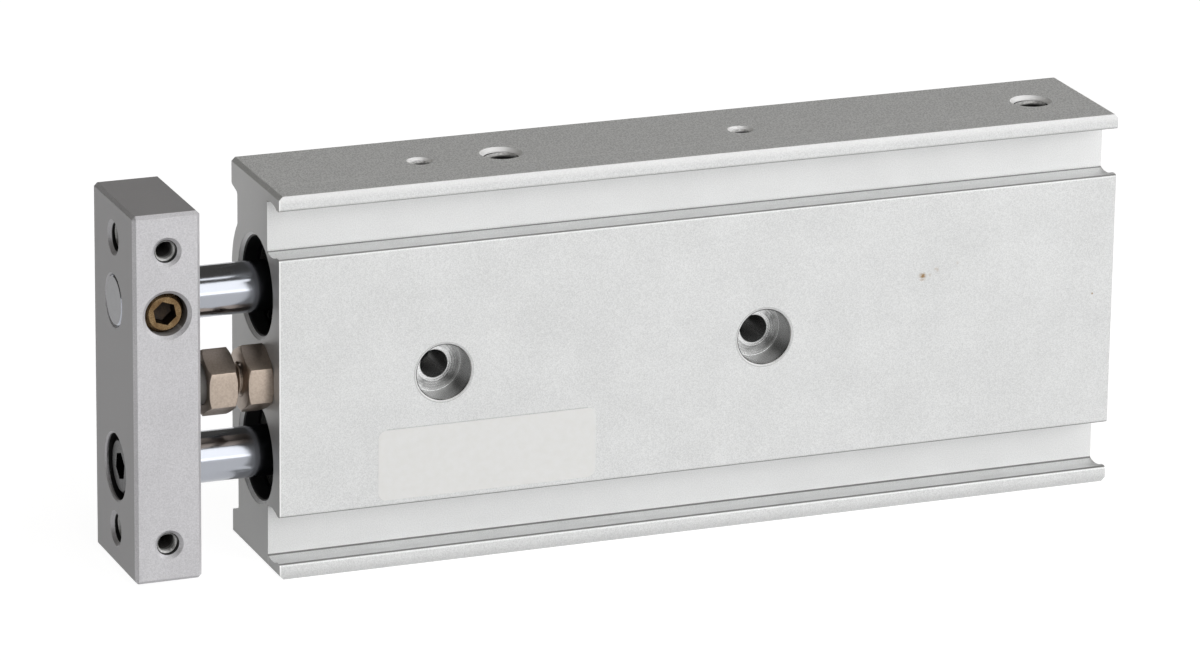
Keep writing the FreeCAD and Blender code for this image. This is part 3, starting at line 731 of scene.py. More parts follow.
@dataclass(frozen=True)
class AnodisedPlate(Finish):
    """Clear-anodised milled aluminium plate: a denser, greyer film than the section's.

    Its end faces are milled across; painted shade darkens them and the top and bottom faces.
    Lengths are in millimetres.
    """

    name: str = "clear_anodised_aluminium_plate"
    light: str = "#DEDDE0"
    dark: str = "#BFBEC1"
    shaded: str = "#999899"
    # Painted shade in the holes, with their oily film.
    oil_and_shade: str = "#1E1E1E"
    metallic: float = 0.32
    roughness: float = 0.44
    uneven: Span = (0.04, 0.05)
    # The true etch is about 0.02 mm; it is drawn at 0.14 mm so that it shows.
    etch: float = 0.14
    etch_depth: float = 0.005
    etch_tone: Span = (-0.1, 0.6)
    etch_reach: float = 0.18
    cloud: float = 5.0
    cloud_tone: Span = (0.1, 0.3)
    # How strongly painted shade darkens the faces that look along x and along z.
    shade_x: float = 0.9
    shade_z: float = 0.65
    # How far below a mouth the painted shade and oily film start, and the radii of the tapped
    # holes.
    skin: float = 0.4
    face_tap: float = 1.75
    side_tap: float = 1.35
    # The cap screw's recess: its radius and its height.
    recess_radius: float = 4.0
    recess_z: float = 13.0

    def holes(self, shader: Shader) -> Socket:
        """Find the walls of the holes behind their mouths, which get painted shade as well as an
        oily film.

        Args:
            shader: The material being wired.

        Returns:
            The mask.
        """
        x, y, z = shader.place()
        deep_x = shader.below(shader.away(x, PLATE_MIDDLE), PLATE_HALF_THICKNESS - self.skin)
        deep_y = shader.below(shader.away(y, 0.0), PLATE_HALF_WIDTH - self.skin)
        taps = (z, BORE_MIDDLE, PLATE_TAP_HALF_PITCH)
        along_x = shader.either(
            shader.below(shader.from_axes(*taps, y), self.face_tap),
            shader.below(shader.from_axes(z, self.recess_z, 0.0, y), self.recess_radius),
        )
        across = shader.past(x, PLATE_MIDDLE)
        along_y = shader.below(shader.from_axes(*taps, across), self.side_tap)
        return shader.either(shader.every(along_x, deep_x), shader.every(along_y, deep_y))

    def wire(self, shader: Shader) -> Look:
        """Wire the etch, a slow cloudiness, the painted shade on the milled ends and the top, and
        the holes' painted shade and oily film.

        Args:
            shader: The material being wired.

        Returns:
            The surface's look.
        """
        etch = shader.grain(self.etch, detail=3.0)
        frost = shader.spread(etch, *self.etch_tone, self.etch_reach)
        cloud = shader.spread(shader.grain(self.cloud), *self.cloud_tone)
        colour = shader.tint(shader.work("ADD", frost, cloud), self.dark, self.light)
        # Painted shade on the ends and on the top and bottom faces.
        milled = shader.either(
            shader.share(shader.facing(Axis.X), self.shade_x),
            shader.share(shader.facing(Axis.Z), self.shade_z),
        )
        for mask, paint in ((milled, self.shaded), (self.holes(shader), self.oil_and_shade)):
            colour = shader.tint(mask, colour, paint)
        return Look(
            colour,
            self.metallic,
            self.gloss(shader, etch),
            shader.bump(etch, self.etch_depth),
        )


@dataclass(frozen=True)
class TurnedMetal(Finish):
    """Bare metal turned around the bores' axes, with the fine bright rings of the tool."""

    name: str
    light: str
    dark: str
    roughness: float = 0.3
    pitch: float = 0.12
    depth: float = 0.003
    uneven: Span = (0.06, 0.08)

    def wire(self, shader: Shader) -> Look:
        """Wire rings on the faces and lines around the outside.

        Args:
            shader: The material being wired.

        Returns:
            The surface's look.
        """
        x, y, z = shader.place()
        radius = shader.from_axes(z, BORE_MIDDLE, BORE_HALF_PITCH, y)
        across = shader.rings(radius, self.pitch)
        along = shader.rings(x, self.pitch)
        turned = shader.mix(shader.facing(Axis.X), along, across)
        return Look(
            shader.tint(turned, self.dark, self.light),
            1.0,
            self.gloss(shader, turned, 0.5),
            shader.bump(turned, self.depth),
        )


@dataclass(frozen=True)
class TappedMetal(Finish):
    """Aluminium freshly cut by a tap: bright crests with fine torn lines along them.

    The crests grow dark below the mouth, with painted shade deeper in the hole and with the oily
    film and swarf that stay behind. The mouths are in pairs, each at the same distance from a
    middle. Lengths are in millimetres.
    """

    name: str
    axis: Axis
    middle: float
    mouth: float
    # How far below the mouth the crests are still light, and where painted shade and the oily film
    # make them all dark.
    clean: float
    all_dark: float
    light: str = "#E8E8E7"
    dark: str = "#B2B2B1"
    # Painted shade deep in the hole, with the oily film.
    oil_and_shade: str = "#3A3937"
    metallic: float = 0.35
    roughness: float = 0.34
    uneven: Span = (0.06, 0.1)
    tear: float = 0.15
    depth: float = 0.002

    def wire(self, shader: Shader) -> Look:
        """Wire the torn lines in colour, gloss and relief, and the painted shade and oily film
        below the mouth.

        Args:
            shader: The material being wired.

        Returns:
            The surface's look.
        """
        tear = shader.grain(self.tear, stretch=(2, 2, 1), detail=3.0)
        away = shader.away(shader.place()[self.axis.value], self.middle)
        oil_and_shade_mask = shader.ramp(away, self.mouth - self.clean, self.mouth - self.all_dark)
        return Look(
            shader.tint(oil_and_shade_mask, self.tone(shader, tear), self.oil_and_shade),
            self.metallic,
            self.gloss(shader, tear),
            shader.bump(tear, self.depth),
        )


@dataclass(frozen=True)
class HardChrome(Finish):
    """Hard-chromed and ground piston rod: a blue-grey mirror with faint ground lines.

    The chrome covers the round surface only. The rod's ends are bare turned steel.
    """

    name: str = "hard_chrome_on_steel"
    chrome: str = "#A3A6AD"
    steel: str = "#88888A"
    roughness: float = 0.14
    uneven: Span = (0.02, 0.03)
    end_roughness: Span = (0.36, 0.5)
    # Where fingers and oil have dulled the mirror: the size of a patch and its change.
    smear: float = 1.2
    smear_roughness: Span = (-0.01, 0.03)
    # The true grinding lines are a few microns apart; they are drawn at 0.05 mm.
    ground: float = 0.05
    ring_pitch: float = 0.35
    ring_waver: float = 0.7
    depth: float = 0.0015

    def wire(self, shader: Shader) -> Look:
        """Wire ground lines around the rod and rings on its ends.

        Args:
            shader: The material being wired.

        Returns:
            The surface's look.
        """
        x, y, z = shader.place()
        ends = shader.facing(Axis.X)
        ground = shader.grain(self.ground, stretch=(1, 60, 60))
        radius = shader.from_axes(z, BORE_MIDDLE, BORE_HALF_PITCH, y)
        rings = shader.rings(radius, self.ring_pitch, self.ring_waver)
        smear = shader.spread(shader.grain(self.smear), *self.smear_roughness)
        polish = shader.work("ADD", self.gloss(shader, ground), smear)
        return Look(
            shader.tint(ends, self.chrome, self.steel),
            1.0,
            shader.mix(ends, polish, shader.spread(rings, *self.end_roughness, 0.5)),
            shader.bump(shader.mix(ends, ground, rings), self.depth),
        )


@dataclass(frozen=True)
class NickelPlate(Finish):
    """Nickel-plated steel fastener: warm grey and satin, with small pits."""

    name: str = "nickel_plated_steel"
    light: str = "#B3A598"
    dark: str = "#A19489"
    roughness: float = 0.4
    uneven: Span = (0.04, 0.05)
    cloud: float = 0.22
    pit: float = 0.14
    pit_depth: float = 0.0008

    def wire(self, shader: Shader) -> Look:
        """Wire a cloudy tone and small pits.

        Args:
            shader: The material being wired.

        Returns:
            The surface's look.
        """
        cloud = shader.grain(self.cloud, detail=4.0)
        pits = shader.spread(shader.grain(self.pit), 1.0, 0.0, 0.1)
        return Look(
            self.tone(shader, cloud),
            1.0,
            self.gloss(shader, cloud),
            shader.bump(pits, self.pit_depth),
        )


@dataclass(frozen=True)
class OxidedSteel(Finish):
    """Heat-treated steel with a conversion film, mottled where the metal shows through."""

    name: str
    dark: str
    light: str
    roughness: float = 0.36
    metallic: float = 0.8
    grit: float = 0.16
    depth: float = 0.003
    uneven: Span = (0.08, 0.12)
    # The patches that are rubbed: their size, and how much of the metal they show.
    rub: float = 0.9
    rub_strength: Span = (0.1, 0.9)
    # The radius of an inner edge that is bare metal, in millimetres, or none at 0, and
    # how far the bare metal reaches inside and outside it.
    inner: float = 0.0
    edge: Span = (0.1, 0.12)
    bare: str = "#8E8E8A"

    def wire(self, shader: Shader) -> Look:
        """Wire the film's mottling, with the metal coming through where it is rubbed.

        Args:
            shader: The material being wired.

        Returns:
            The surface's look.
        """
        mottle = shader.grain(self.grit, detail=4.0)
        lightened = shader.spread(shader.grain(self.rub), *self.rub_strength)
        tone = shader.work("MULTIPLY", shader.spread(mottle, 0.0, 1.0), lightened)
        colour = shader.tint(tone, self.dark, self.light)
        if self.inner:
            x, y, z = shader.place()
            radius = shader.from_axes(z, BORE_MIDDLE, BORE_HALF_PITCH, y)
            inside, outside = self.edge
            edge = shader.between(radius, self.inner - inside, self.inner + outside)
            colour = shader.tint(edge, colour, self.bare)
        return Look(
            colour,
            self.metallic,
            self.gloss(shader, mottle),
            shader.bump(mottle, self.depth),
        )


@dataclass(frozen=True)
class MouldedRubber(Finish):
    """Moulded rubber or resin: dull, with the mould's faint spark-eroded texture."""

    name: str
    light: str
    dark: str
    roughness: float = 0.6
    texture: float = 0.18
    depth: float = 0.006
    uneven: Span = (0.08, 0.1)
    dust: float = 2.0

    def wire(self, shader: Shader) -> Look:
        """Wire the mould texture and a dusty tone.

        Args:
            shader: The material being wired.

        Returns:
            The surface's look.
        """
        texture = shader.grain(self.texture)
        dust = shader.grain(self.dust, detail=3.0)
        return Look(
            self.tone(shader, dust),
            0.0,
            self.gloss(shader, texture),
            shader.bump(texture, self.depth),
        )


@dataclass(frozen=True)
class LabelFilm(Finish):
    """Blank polyester label: a smooth milky film, glossier than the metal round it."""

    name: str = "polyester_label_film"
    light: str = "#FFFFFE"
    dark: str = "#FBFBF9"
    roughness: float = 0.39
    uneven: Span = (0.03, 0.03)
    peel: float = 0.8
    depth: float = 0.002

    def wire(self, shader: Shader) -> Look:
        """Wire the faint orange peel of film over an etched surface.

        Args:
            shader: The material being wired.

        Returns:
            The surface's look.
        """
        peel = shader.grain(self.peel)
        return Look(
            self.tone(shader, peel),
            0.0,
            self.gloss(shader, peel),
            shader.bump(peel, self.depth),
        )


EXTRUSION = AnodisedExtrusion()
PLATE = AnodisedPlate()
CHROME = HardChrome()
NICKEL = NickelPlate()
FILM = LabelFilm()
# Tapped aluminium: bright crests that darken with oil, one for each kind of hole.
TAPPED_TOP = TappedMetal(
    "tapped_aluminium_top", Axis.Z, BORE_MIDDLE, BODY_HEIGHT - BORE_MIDDLE, 0.7, 1.3
)
TAPPED_BACK = TappedMetal("tapped_aluminium_back", Axis.Y, 0.0, BODY_HALF_WIDTH, 0.8, 2.6)
TAPPED_FACE = TappedMetal(
    "tapped_aluminium_plate_face", Axis.X, PLATE_MIDDLE, PLATE_HALF_THICKNESS, 0.5, 1.4
)
TAPPED_SIDE = TappedMetal(
    "tapped_aluminium_plate_side", Axis.Y, 0.0, PLATE_HALF_WIDTH, 0.8, 2.4
)
# Turned aluminium, left bare: a light grey with rings that catch the light.
TURNED_ALUMINIUM = TurnedMetal("turned_aluminium", "#B4B4B2", "#7E7E7C", 0.3, 0.3)
# Bearing bronze: the same rings on a dull yellow metal.
BEARING_ALLOY = TurnedMetal("turned_bearing_bronze", "#B99B6B", "#8E7448", 0.34)
# Black oxide: a near-black screw with a soft, oily sheen.
BLACK_STEEL = OxidedSteel("black_oxide_steel", "#0E0E0F", "#242426", 0.3)
# Browned steel: a warm brown that is rubbed to straw.
BRONZED_STEEL = OxidedSteel("browned_steel", "#5E4830", "#A8926F", 0.24, 1.0, 0.1)
# The scale that heat treatment leaves in a socket: matt and dark brown.
SOOT = OxidedSteel("heat_blackened_socket", "#17110B", "#4A3926", 0.45, 0.6)
# Phosphated rings: grey-black and dry, with the punched inner edge bare and bright.
PHOSPHATED = OxidedSteel("phosphated_spring_steel", "#1A1B1A", "#3C3D3B", 0.3, inner=5.12)
# Sintered ferrite: charcoal grey and gritty, with hardly any shine.
MAGNET = OxidedSteel("sintered_ferrite_magnet", "#2A2A2C", "#444446", 0.5, 0.3)
# Moulded resin: an even black, smoother than the rubber.
BLACK_RESIN = MouldedRubber("moulded_black_resin", "#101011", "#0A0A0B", 0.35)
# Cast urethane: a dull warm grey.
URETHANE = MouldedRubber("moulded_polyurethane", "#7C7A77", "#5E5C59", 0.5)
# Nitrile: black and slightly dusty.
NITRILE = MouldedRubber("moulded_nitrile_rubber", "#26272A", "#17181A", 0.45)


# ---------------------------------------------------------------- bench work


class Part(Enum):
    """What is picked in edit mode."""

    VERTEX = "VERT"
    EDGE = "EDGE"
    FACE = "FACE"


class Cut(Enum):
    """How a tool piece shapes the one it is used on."""

    REMOVE = "DIFFERENCE"
    KEEP_INSIDE = "INTERSECT"


# Two heights or lengths this close, in millimetres, count as the same.
SAME = 0.001


def hold(piece: Piece, *others: Piece) -> None:
    """Select pieces alone and make the first of them active.

    Args:
        piece: The piece to work on.
        others: Pieces to select with it.
    """
    bpy.ops.object.select_all(action="DESELECT")
    for held in (piece, *others):
        held.select_set(True)
    bpy.context.view_layer.objects.active = piece


def take(name: str) -> Piece:
    """Take up the primitive just added, with its size, turn and place in its mesh.

    Args:
        name: The name it gets.

    Returns:
        The piece.
    """
    piece = bpy.context.active_object
    piece.name = piece.data.name = name
    bpy.ops.object.transform_apply(location=True, rotation=True, scale=True)
    return piece


@contextmanager
def shaping(piece: Piece) -> Iterator[None]:
    """Open a piece in edit mode and close it again at the end.

    Args:
        piece: The piece to shape.
    """
    hold(piece)
    bpy.ops.object.mode_set(mode="EDIT")
    bpy.ops.mesh.select_all(action="DESELECT")
    try:
        yield
    finally:
        bpy.ops.object.mode_set(mode="OBJECT")


def pick(piece: Piece, part: Part, test: Callable[[Vector], bool]) -> None:
    """Select the vertices, edges or faces whose middle passes a test.

    Args:
        piece: The piece in edit mode.
        part: Which kind of element to pick.
        test: Says yes or no to a middle point in millimetres.
    """
    bpy.ops.mesh.select_all(action="DESELECT")
    bpy.ops.mesh.select_mode(type=part.value)
    mesh = bmesh.from_edit_mesh(piece.data)
    if part is Part.VERTEX:
        middles = [(v, v.co) for v in mesh.verts]
    elif part is Part.EDGE:
        middles = [(e, (e.verts[0].co + e.verts[1].co) / 2) for e in mesh.edges]
    else:
        middles = [(f, f.calc_center_median()) for f in mesh.faces]
    for element, middle in middles:
        element.select_set(test(middle / MM))
    mesh.select_flush_mode()
    bmesh.update_edit_mesh(piece.data)


def pick_level(piece: Piece, part: Part, height: float) -> None:
    """Select the elements whose middle lies at a height in millimetres."""
    pick(piece, part, lambda p: abs(p.z - height) < SAME)


def pick_all() -> None:
    """Select the whole piece in edit mode."""
    bpy.ops.mesh.select_all(action="SELECT")


def move(x: float, y: float, z: float) -> None:
    """Move what is selected in edit mode, in millimetres."""
    bpy.ops.transform.translate(value=(x * MM, y * MM, z * MM))


def resize(x: float, y: float, z: float) -> None:
    """Scale what is selected in edit mode about the origin."""
    bpy.ops.transform.resize(value=(x, y, z), center_override=(0, 0, 0))


def inset(width: float) -> None:
    """Inset the faces that are selected in edit mode by a width in millimetres."""
    bpy.ops.mesh.inset(thickness=width * MM)


def extrude(z: float) -> None:
    """Extrude what is selected in edit mode along z, in millimetres."""
    bpy.ops.mesh.extrude_region_move(TRANSFORM_OT_translate={"value": (0, 0, z * MM)})


def apply(piece: Piece, kind: str, **settings: Value) -> None:
    """Add a modifier with its settings and apply it.

    Args:
        piece: The piece it works on.
        kind: The modifier's type.
        settings: The modifier's own properties.
    """
    hold(piece)
    modifier = piece.modifiers.new(kind.lower(), kind)
    for name, value in settings.items():
        setattr(modifier, name, value)
    bpy.ops.object.modifier_apply(modifier=modifier.name)


def cut(piece: Piece, tool: Piece, how: Cut = Cut.REMOVE) -> None:
    """Shape a piece with a tool piece, which is then thrown away."""
    apply(piece, "BOOLEAN", operation=how.value, object=tool, solver="EXACT")
    bpy.data.objects.remove(tool)


def bar(name: str, radius: float, length: float, sides: int = 96, top: float = 0.0) -> Piece:
    """Start from a round or hexagonal bar that hangs down from its top face.

    Args:
        name: Name of the piece.
        radius: Radius to the corners, in millimetres.
        length: Length in millimetres.
        sides: Number of flats; a hexagon has two of them facing y.
        top: Height of the top face, in millimetres.

    Returns:
        The bar, standing on the z axis.
    """
    bpy.ops.object.select_all(action="DESELECT")
    bpy.ops.mesh.primitive_cylinder_add(
        vertices=sides,
        radius=radius * MM,
        depth=length * MM,
        location=(0, 0, (top - length / 2) * MM),
        rotation=(0, 0, math.pi / 2),
    )
    return take(name)


def weld(piece: Piece, reach: float) -> None:
    """Join the points of a piece that lie closer together than a reach.

    Args:
        piece: The piece to clean.
        reach: The reach in millimetres.
    """
    with shaping(piece):
        pick_all()
        bpy.ops.mesh.remove_doubles(threshold=reach * MM)
        bpy.ops.mesh.dissolve_degenerate(threshold=reach * MM)


def settle(piece: Piece, at: Point, outward: Vector) -> None:
    """Turn a piece from the z axis to its own direction and set it in its place.

    Args:
        piece: The piece, with its outer end at the origin.
        at: Where that end goes, in millimetres.
        outward: Which way it looks.
    """
    hold(piece)
    piece.rotation_mode = "QUATERNION"
    piece.rotation_quaternion = UP.rotation_difference(outward)
    piece.location = Vector(at) * MM
    bpy.ops.object.transform_apply(location=True, rotation=True, scale=True)


def fit(
    piece: Piece,
    finish: Finish,
    body: Body,
    replaced: str | None = None,
) -> None:
    """Finish a new piece and fit it to the frame.

    Args:
        piece: The piece, in its place.
        finish: Its finish.
        body: The body it rides on.
        replaced: The node it stands for.
    """
    hold(piece)
    bpy.ops.object.shade_smooth_by_angle(angle=math.radians(32))
    piece.data.materials.clear()
    piece.data.materials.append(finish.material())
    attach(piece, body.value)
    if replaced:
        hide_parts(replaced)
    LOG.info("%s: %d faces, %s", piece.name, len(piece.data.polygons), finish.name)


def dress(node: str, finish: Finish) -> None:
    """Give a node of the frame its finish."""
    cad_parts[node].material_slots[0].material = finish.material()
    LOG.info("%s: %s", node, finish.name)


def inlay(piece: Piece, finish: Finish, test: Callable[[Vector], bool]) -> None:
    """Give the faces whose middle passes a test a second finish.

    Args:
        piece: The fitted piece, in its place.
        finish: The second finish.
        test: Says yes or no to a face's middle, in millimetres.
    """
    piece.data.materials.append(finish.material())
    with shaping(piece):
        pick(piece, Part.FACE, test)
        piece.active_material_index = len(piece.data.materials) - 1
        bpy.ops.object.material_slot_assign()


def copy_of(piece: Piece, name: str) -> Piece:
    """Copy a piece that is still at the origin, with a mesh of its own.

    Args:
        piece: The piece to copy.
        name: The copy's name.

    Returns:
        The copy.
    """
    hold(piece)
    bpy.ops.object.duplicate(linked=False)
    twin = bpy.context.active_object
    twin.name = twin.data.name = name
    return twin


@dataclass(frozen=True)
class ThreadForm:
    """A screw thread's ridge in millimetres, from its base to its crest."""

    base: float
    crest: float
    pitch: float
    steps: int = 36
    # The ridge's width at its base, as a part of the pitch, and at its crest, as a
    # part of that.
    foot: float = 0.8
    tip: float = 0.14
    # How much of the ridge's height is taken off where it starts.
    faded: float = 0.98

    def profile(self, name: str, start: float) -> Piece:
        """Draw the ridge's section, an open ring of four edges beside the z axis.

        Args:
            name: Name of the piece.
            start: Depth at which the thread starts.

        Returns:
            The section.
        """
        bpy.ops.object.select_all(action="DESELECT")
        bpy.ops.mesh.primitive_plane_add(size=MM, rotation=(math.pi / 2, 0, 0))
        piece = take(name)
        height = self.crest - self.base
        with shaping(piece):
            pick_all()
            resize(height, 1, self.pitch * self.foot)
            pick(piece, Part.VERTEX, lambda p: p.x * height > 0)
            resize(1, 1, self.tip)
            pick_all()
            move((self.base + self.crest) / 2, 0, -start - self.pitch / 2)
            bpy.ops.mesh.delete(type="ONLY_FACE")
        return piece

    def ridge(self, name: str, start: float, length: float) -> Piece:
        """Wind the ridge down the z axis, rising from its base over its first part turn.

        Args:
            name: Name of the piece.
            start: Depth at which the thread starts.
            length: Depth at which the thread ends.

        Returns:
            The ridge, a closed helix.
        """
        piece = self.profile(name, start)
        apply(
            piece,
            "SCREW",
            axis="Z",
            screw_offset=-self.pitch * MM,
            iterations=math.ceil((length - start) / self.pitch),
            steps=self.steps,
            render_steps=self.steps,
            use_merge_vertices=False,
        )
        with shaping(piece):
            pick_all()
            bpy.ops.mesh.remove_doubles(threshold=SAME / 2 * MM)
            bpy.ops.mesh.fill_holes(sides=4)
            pick_all()
            bpy.ops.mesh.normals_make_consistent(inside=False)
            self.fade(piece, start)
        return piece

    def fade(self, piece: Piece, start: float) -> None:
        """Let the first part turn of the ridge rise slowly from its base.

        Args:
            piece: The ridge in edit mode.
            start: Depth at which it starts.
        """
        rising = self.steps // 4
        wide = math.pi / self.steps
        high = self.pitch / 5
        for step in range(rising):
            angle = math.tau * step / self.steps
            middle = -start - self.pitch * (0.5 + step / self.steps)
            pick(
                piece,
                Part.VERTEX,
                lambda p: abs(p.z - middle) < high
                and abs(math.hypot(p.x, p.y) - self.crest) < 10 * SAME
                and abs(math.remainder(math.atan2(p.y, p.x) - angle, math.tau)) < wide,
            )
            left = 1 - step / rising
            grown = 1 + (self.base / self.crest - 1) * left * self.faded
            resize(grown, grown, 1)


@dataclass(frozen=True)
class HexSocket:
    """A hexagon socket in millimetres, with the drill's cone at its bottom."""

    flats: float
    depth: float
    turn: float = 0.0
    over: float = 0.5
    cone: float = 0.2

    def sink(self, piece: Piece) -> None:
        """Sink the socket into the top of a piece.

        Args:
            piece: The piece, hanging from the origin.
        """
        corner = self.flats / 2 / COS30
        tool = bar("socket_tool", corner, self.depth + self.over, sides=6, top=self.over)
        with shaping(tool):
            pick_level(tool, Part.FACE, -self.depth)
            extrude(-self.flats * self.cone)
            bpy.ops.mesh.merge(type="CENTER")
            pick_all()
            bpy.ops.transform.rotate(
                value=math.radians(self.turn), orient_axis="Z", center_override=(0, 0, 0)
            )
        cut(piece, tool)


class Mouth(NamedTuple):
    """The middle of a hole's mouth, in millimetres, and which way the hole looks."""

    at: Point
    outward: Vector


def tap_holes(
    ridge: Piece, copies: list[str], mouths: list[Mouth], finish: Finish, body: Body
) -> None:
    """Thread a set of equal holes with one ridge and its copies.

    Args:
        ridge: The ridge for the first hole, at the origin.
        copies: The names of the ridges for the other holes.
        mouths: The mouth of each hole.
        finish: The finish of the cut metal.
        body: The body they are in.
    """
    ridges = [ridge, *(copy_of(ridge, name) for name in copies)]
    for piece, mouth in zip(ridges, mouths):
        settle(piece, mouth.at, mouth.outward)
        fit(piece, finish, body)


# ---------------------------------------------------------------- sub-assemblies


@dataclass
class Housing:
    """The extruded body with its threads, its label and what stays still inside it.

    Lengths are in millimetres.
    """

    port_x: Span = (-14.0, 53.5)
    bolt_x: Span = (BOLT_MIDDLE - BOLT_HALF_PITCH, BOLT_MIDDLE + BOLT_HALF_PITCH)
    port_thread: ThreadForm = ThreadForm(2.12, 1.78, 0.8)
    tap_thread: ThreadForm = ThreadForm(1.27, 1.06, 0.5)
    bolt_thread: ThreadForm = ThreadForm(1.72, 1.46, 0.7)
    # Where each thread starts and ends below its mouth.
    port_depth: Span = (0.32, 4.9)
    tap_depth: Span = (0.22, 4.4)
    bolt_depth: Span = (0.2, 7.0)
    # The label's lower left corner and its upper right one, along x and z.
    label_low: Span = (-32.0, 8.2)
    label_high: Span = (-5.15, 16.7)
    label_corner: float = 1.0
    label_thickness: float = 0.02

    def threads(self) -> None:
        """Cut the threads of the ports, the top taps and the two bolt holes."""
        port = self.port_thread.ridge("port_thread_front", *self.port_depth)
        tap = self.tap_thread.ridge("top_tap_thread_front", *self.tap_depth)
        bolt = self.bolt_thread.ridge("bolt_hole_thread_front", *self.bolt_depth)
        ports = [Mouth((x, 0, BODY_HEIGHT), UP) for x in self.port_x]
        taps = [Mouth((x, 0, BODY_HEIGHT), UP) for x in self.bolt_x]
        backs = [Mouth((x, BODY_HALF_WIDTH, BORE_MIDDLE), BACK) for x in self.bolt_x]
        tap_holes(port, ["port_thread_rear"], ports, TAPPED_TOP, Body.HOUSING)
        tap_holes(tap, ["top_tap_thread_rear"], taps, TAPPED_TOP, Body.HOUSING)
        tap_holes(bolt, ["bolt_hole_thread_rear"], backs, TAPPED_BACK, Body.HOUSING)

    def label(self) -> None:
        """Stick the blank label on the front face."""
        (left, low), (right, high) = self.label_low, self.label_high
        bpy.ops.object.select_all(action="DESELECT")
        bpy.ops.mesh.primitive_plane_add(
            size=MM,
            location=((left + right) / 2 * MM, -BODY_HALF_WIDTH * MM, (low + high) / 2 * MM),
            rotation=(math.pi / 2, 0, 0),
        )
        bpy.context.active_object.scale = (right - left, high - low, 1)
        piece = take("blank_label")
        with shaping(piece):
            pick_all()
            bpy.ops.mesh.bevel(offset=self.label_corner * MM, segments=8, affect="VERTICES")
        apply(piece, "SOLIDIFY", thickness=self.label_thickness * MM, offset=1.0)
        fit(piece, FILM, Body.HOUSING)

    def build(self) -> None:
        """Dress the body and its inner parts, then add threads and label."""
        dress("housing", EXTRUSION)
        for side in ("upper", "lower"):
            for node, finish in (
                ("front_retaining_ring", PHOSPHATED),
                ("rear_retaining_ring", PHOSPHATED),
                ("seal_retainer", BLACK_RESIN),
                ("rod_seal", NITRILE),
                ("rod_cover", BEARING_ALLOY),
                ("rod_cover_o_ring", NITRILE),
                ("front_bumper", URETHANE),
                ("rear_bumper", URETHANE),
                ("head_cover", TURNED_ALUMINIUM),
                ("head_cover_o_ring", NITRILE),
            ):
                dress(f"{node}_{side}", finish)
        self.threads()
        self.label()


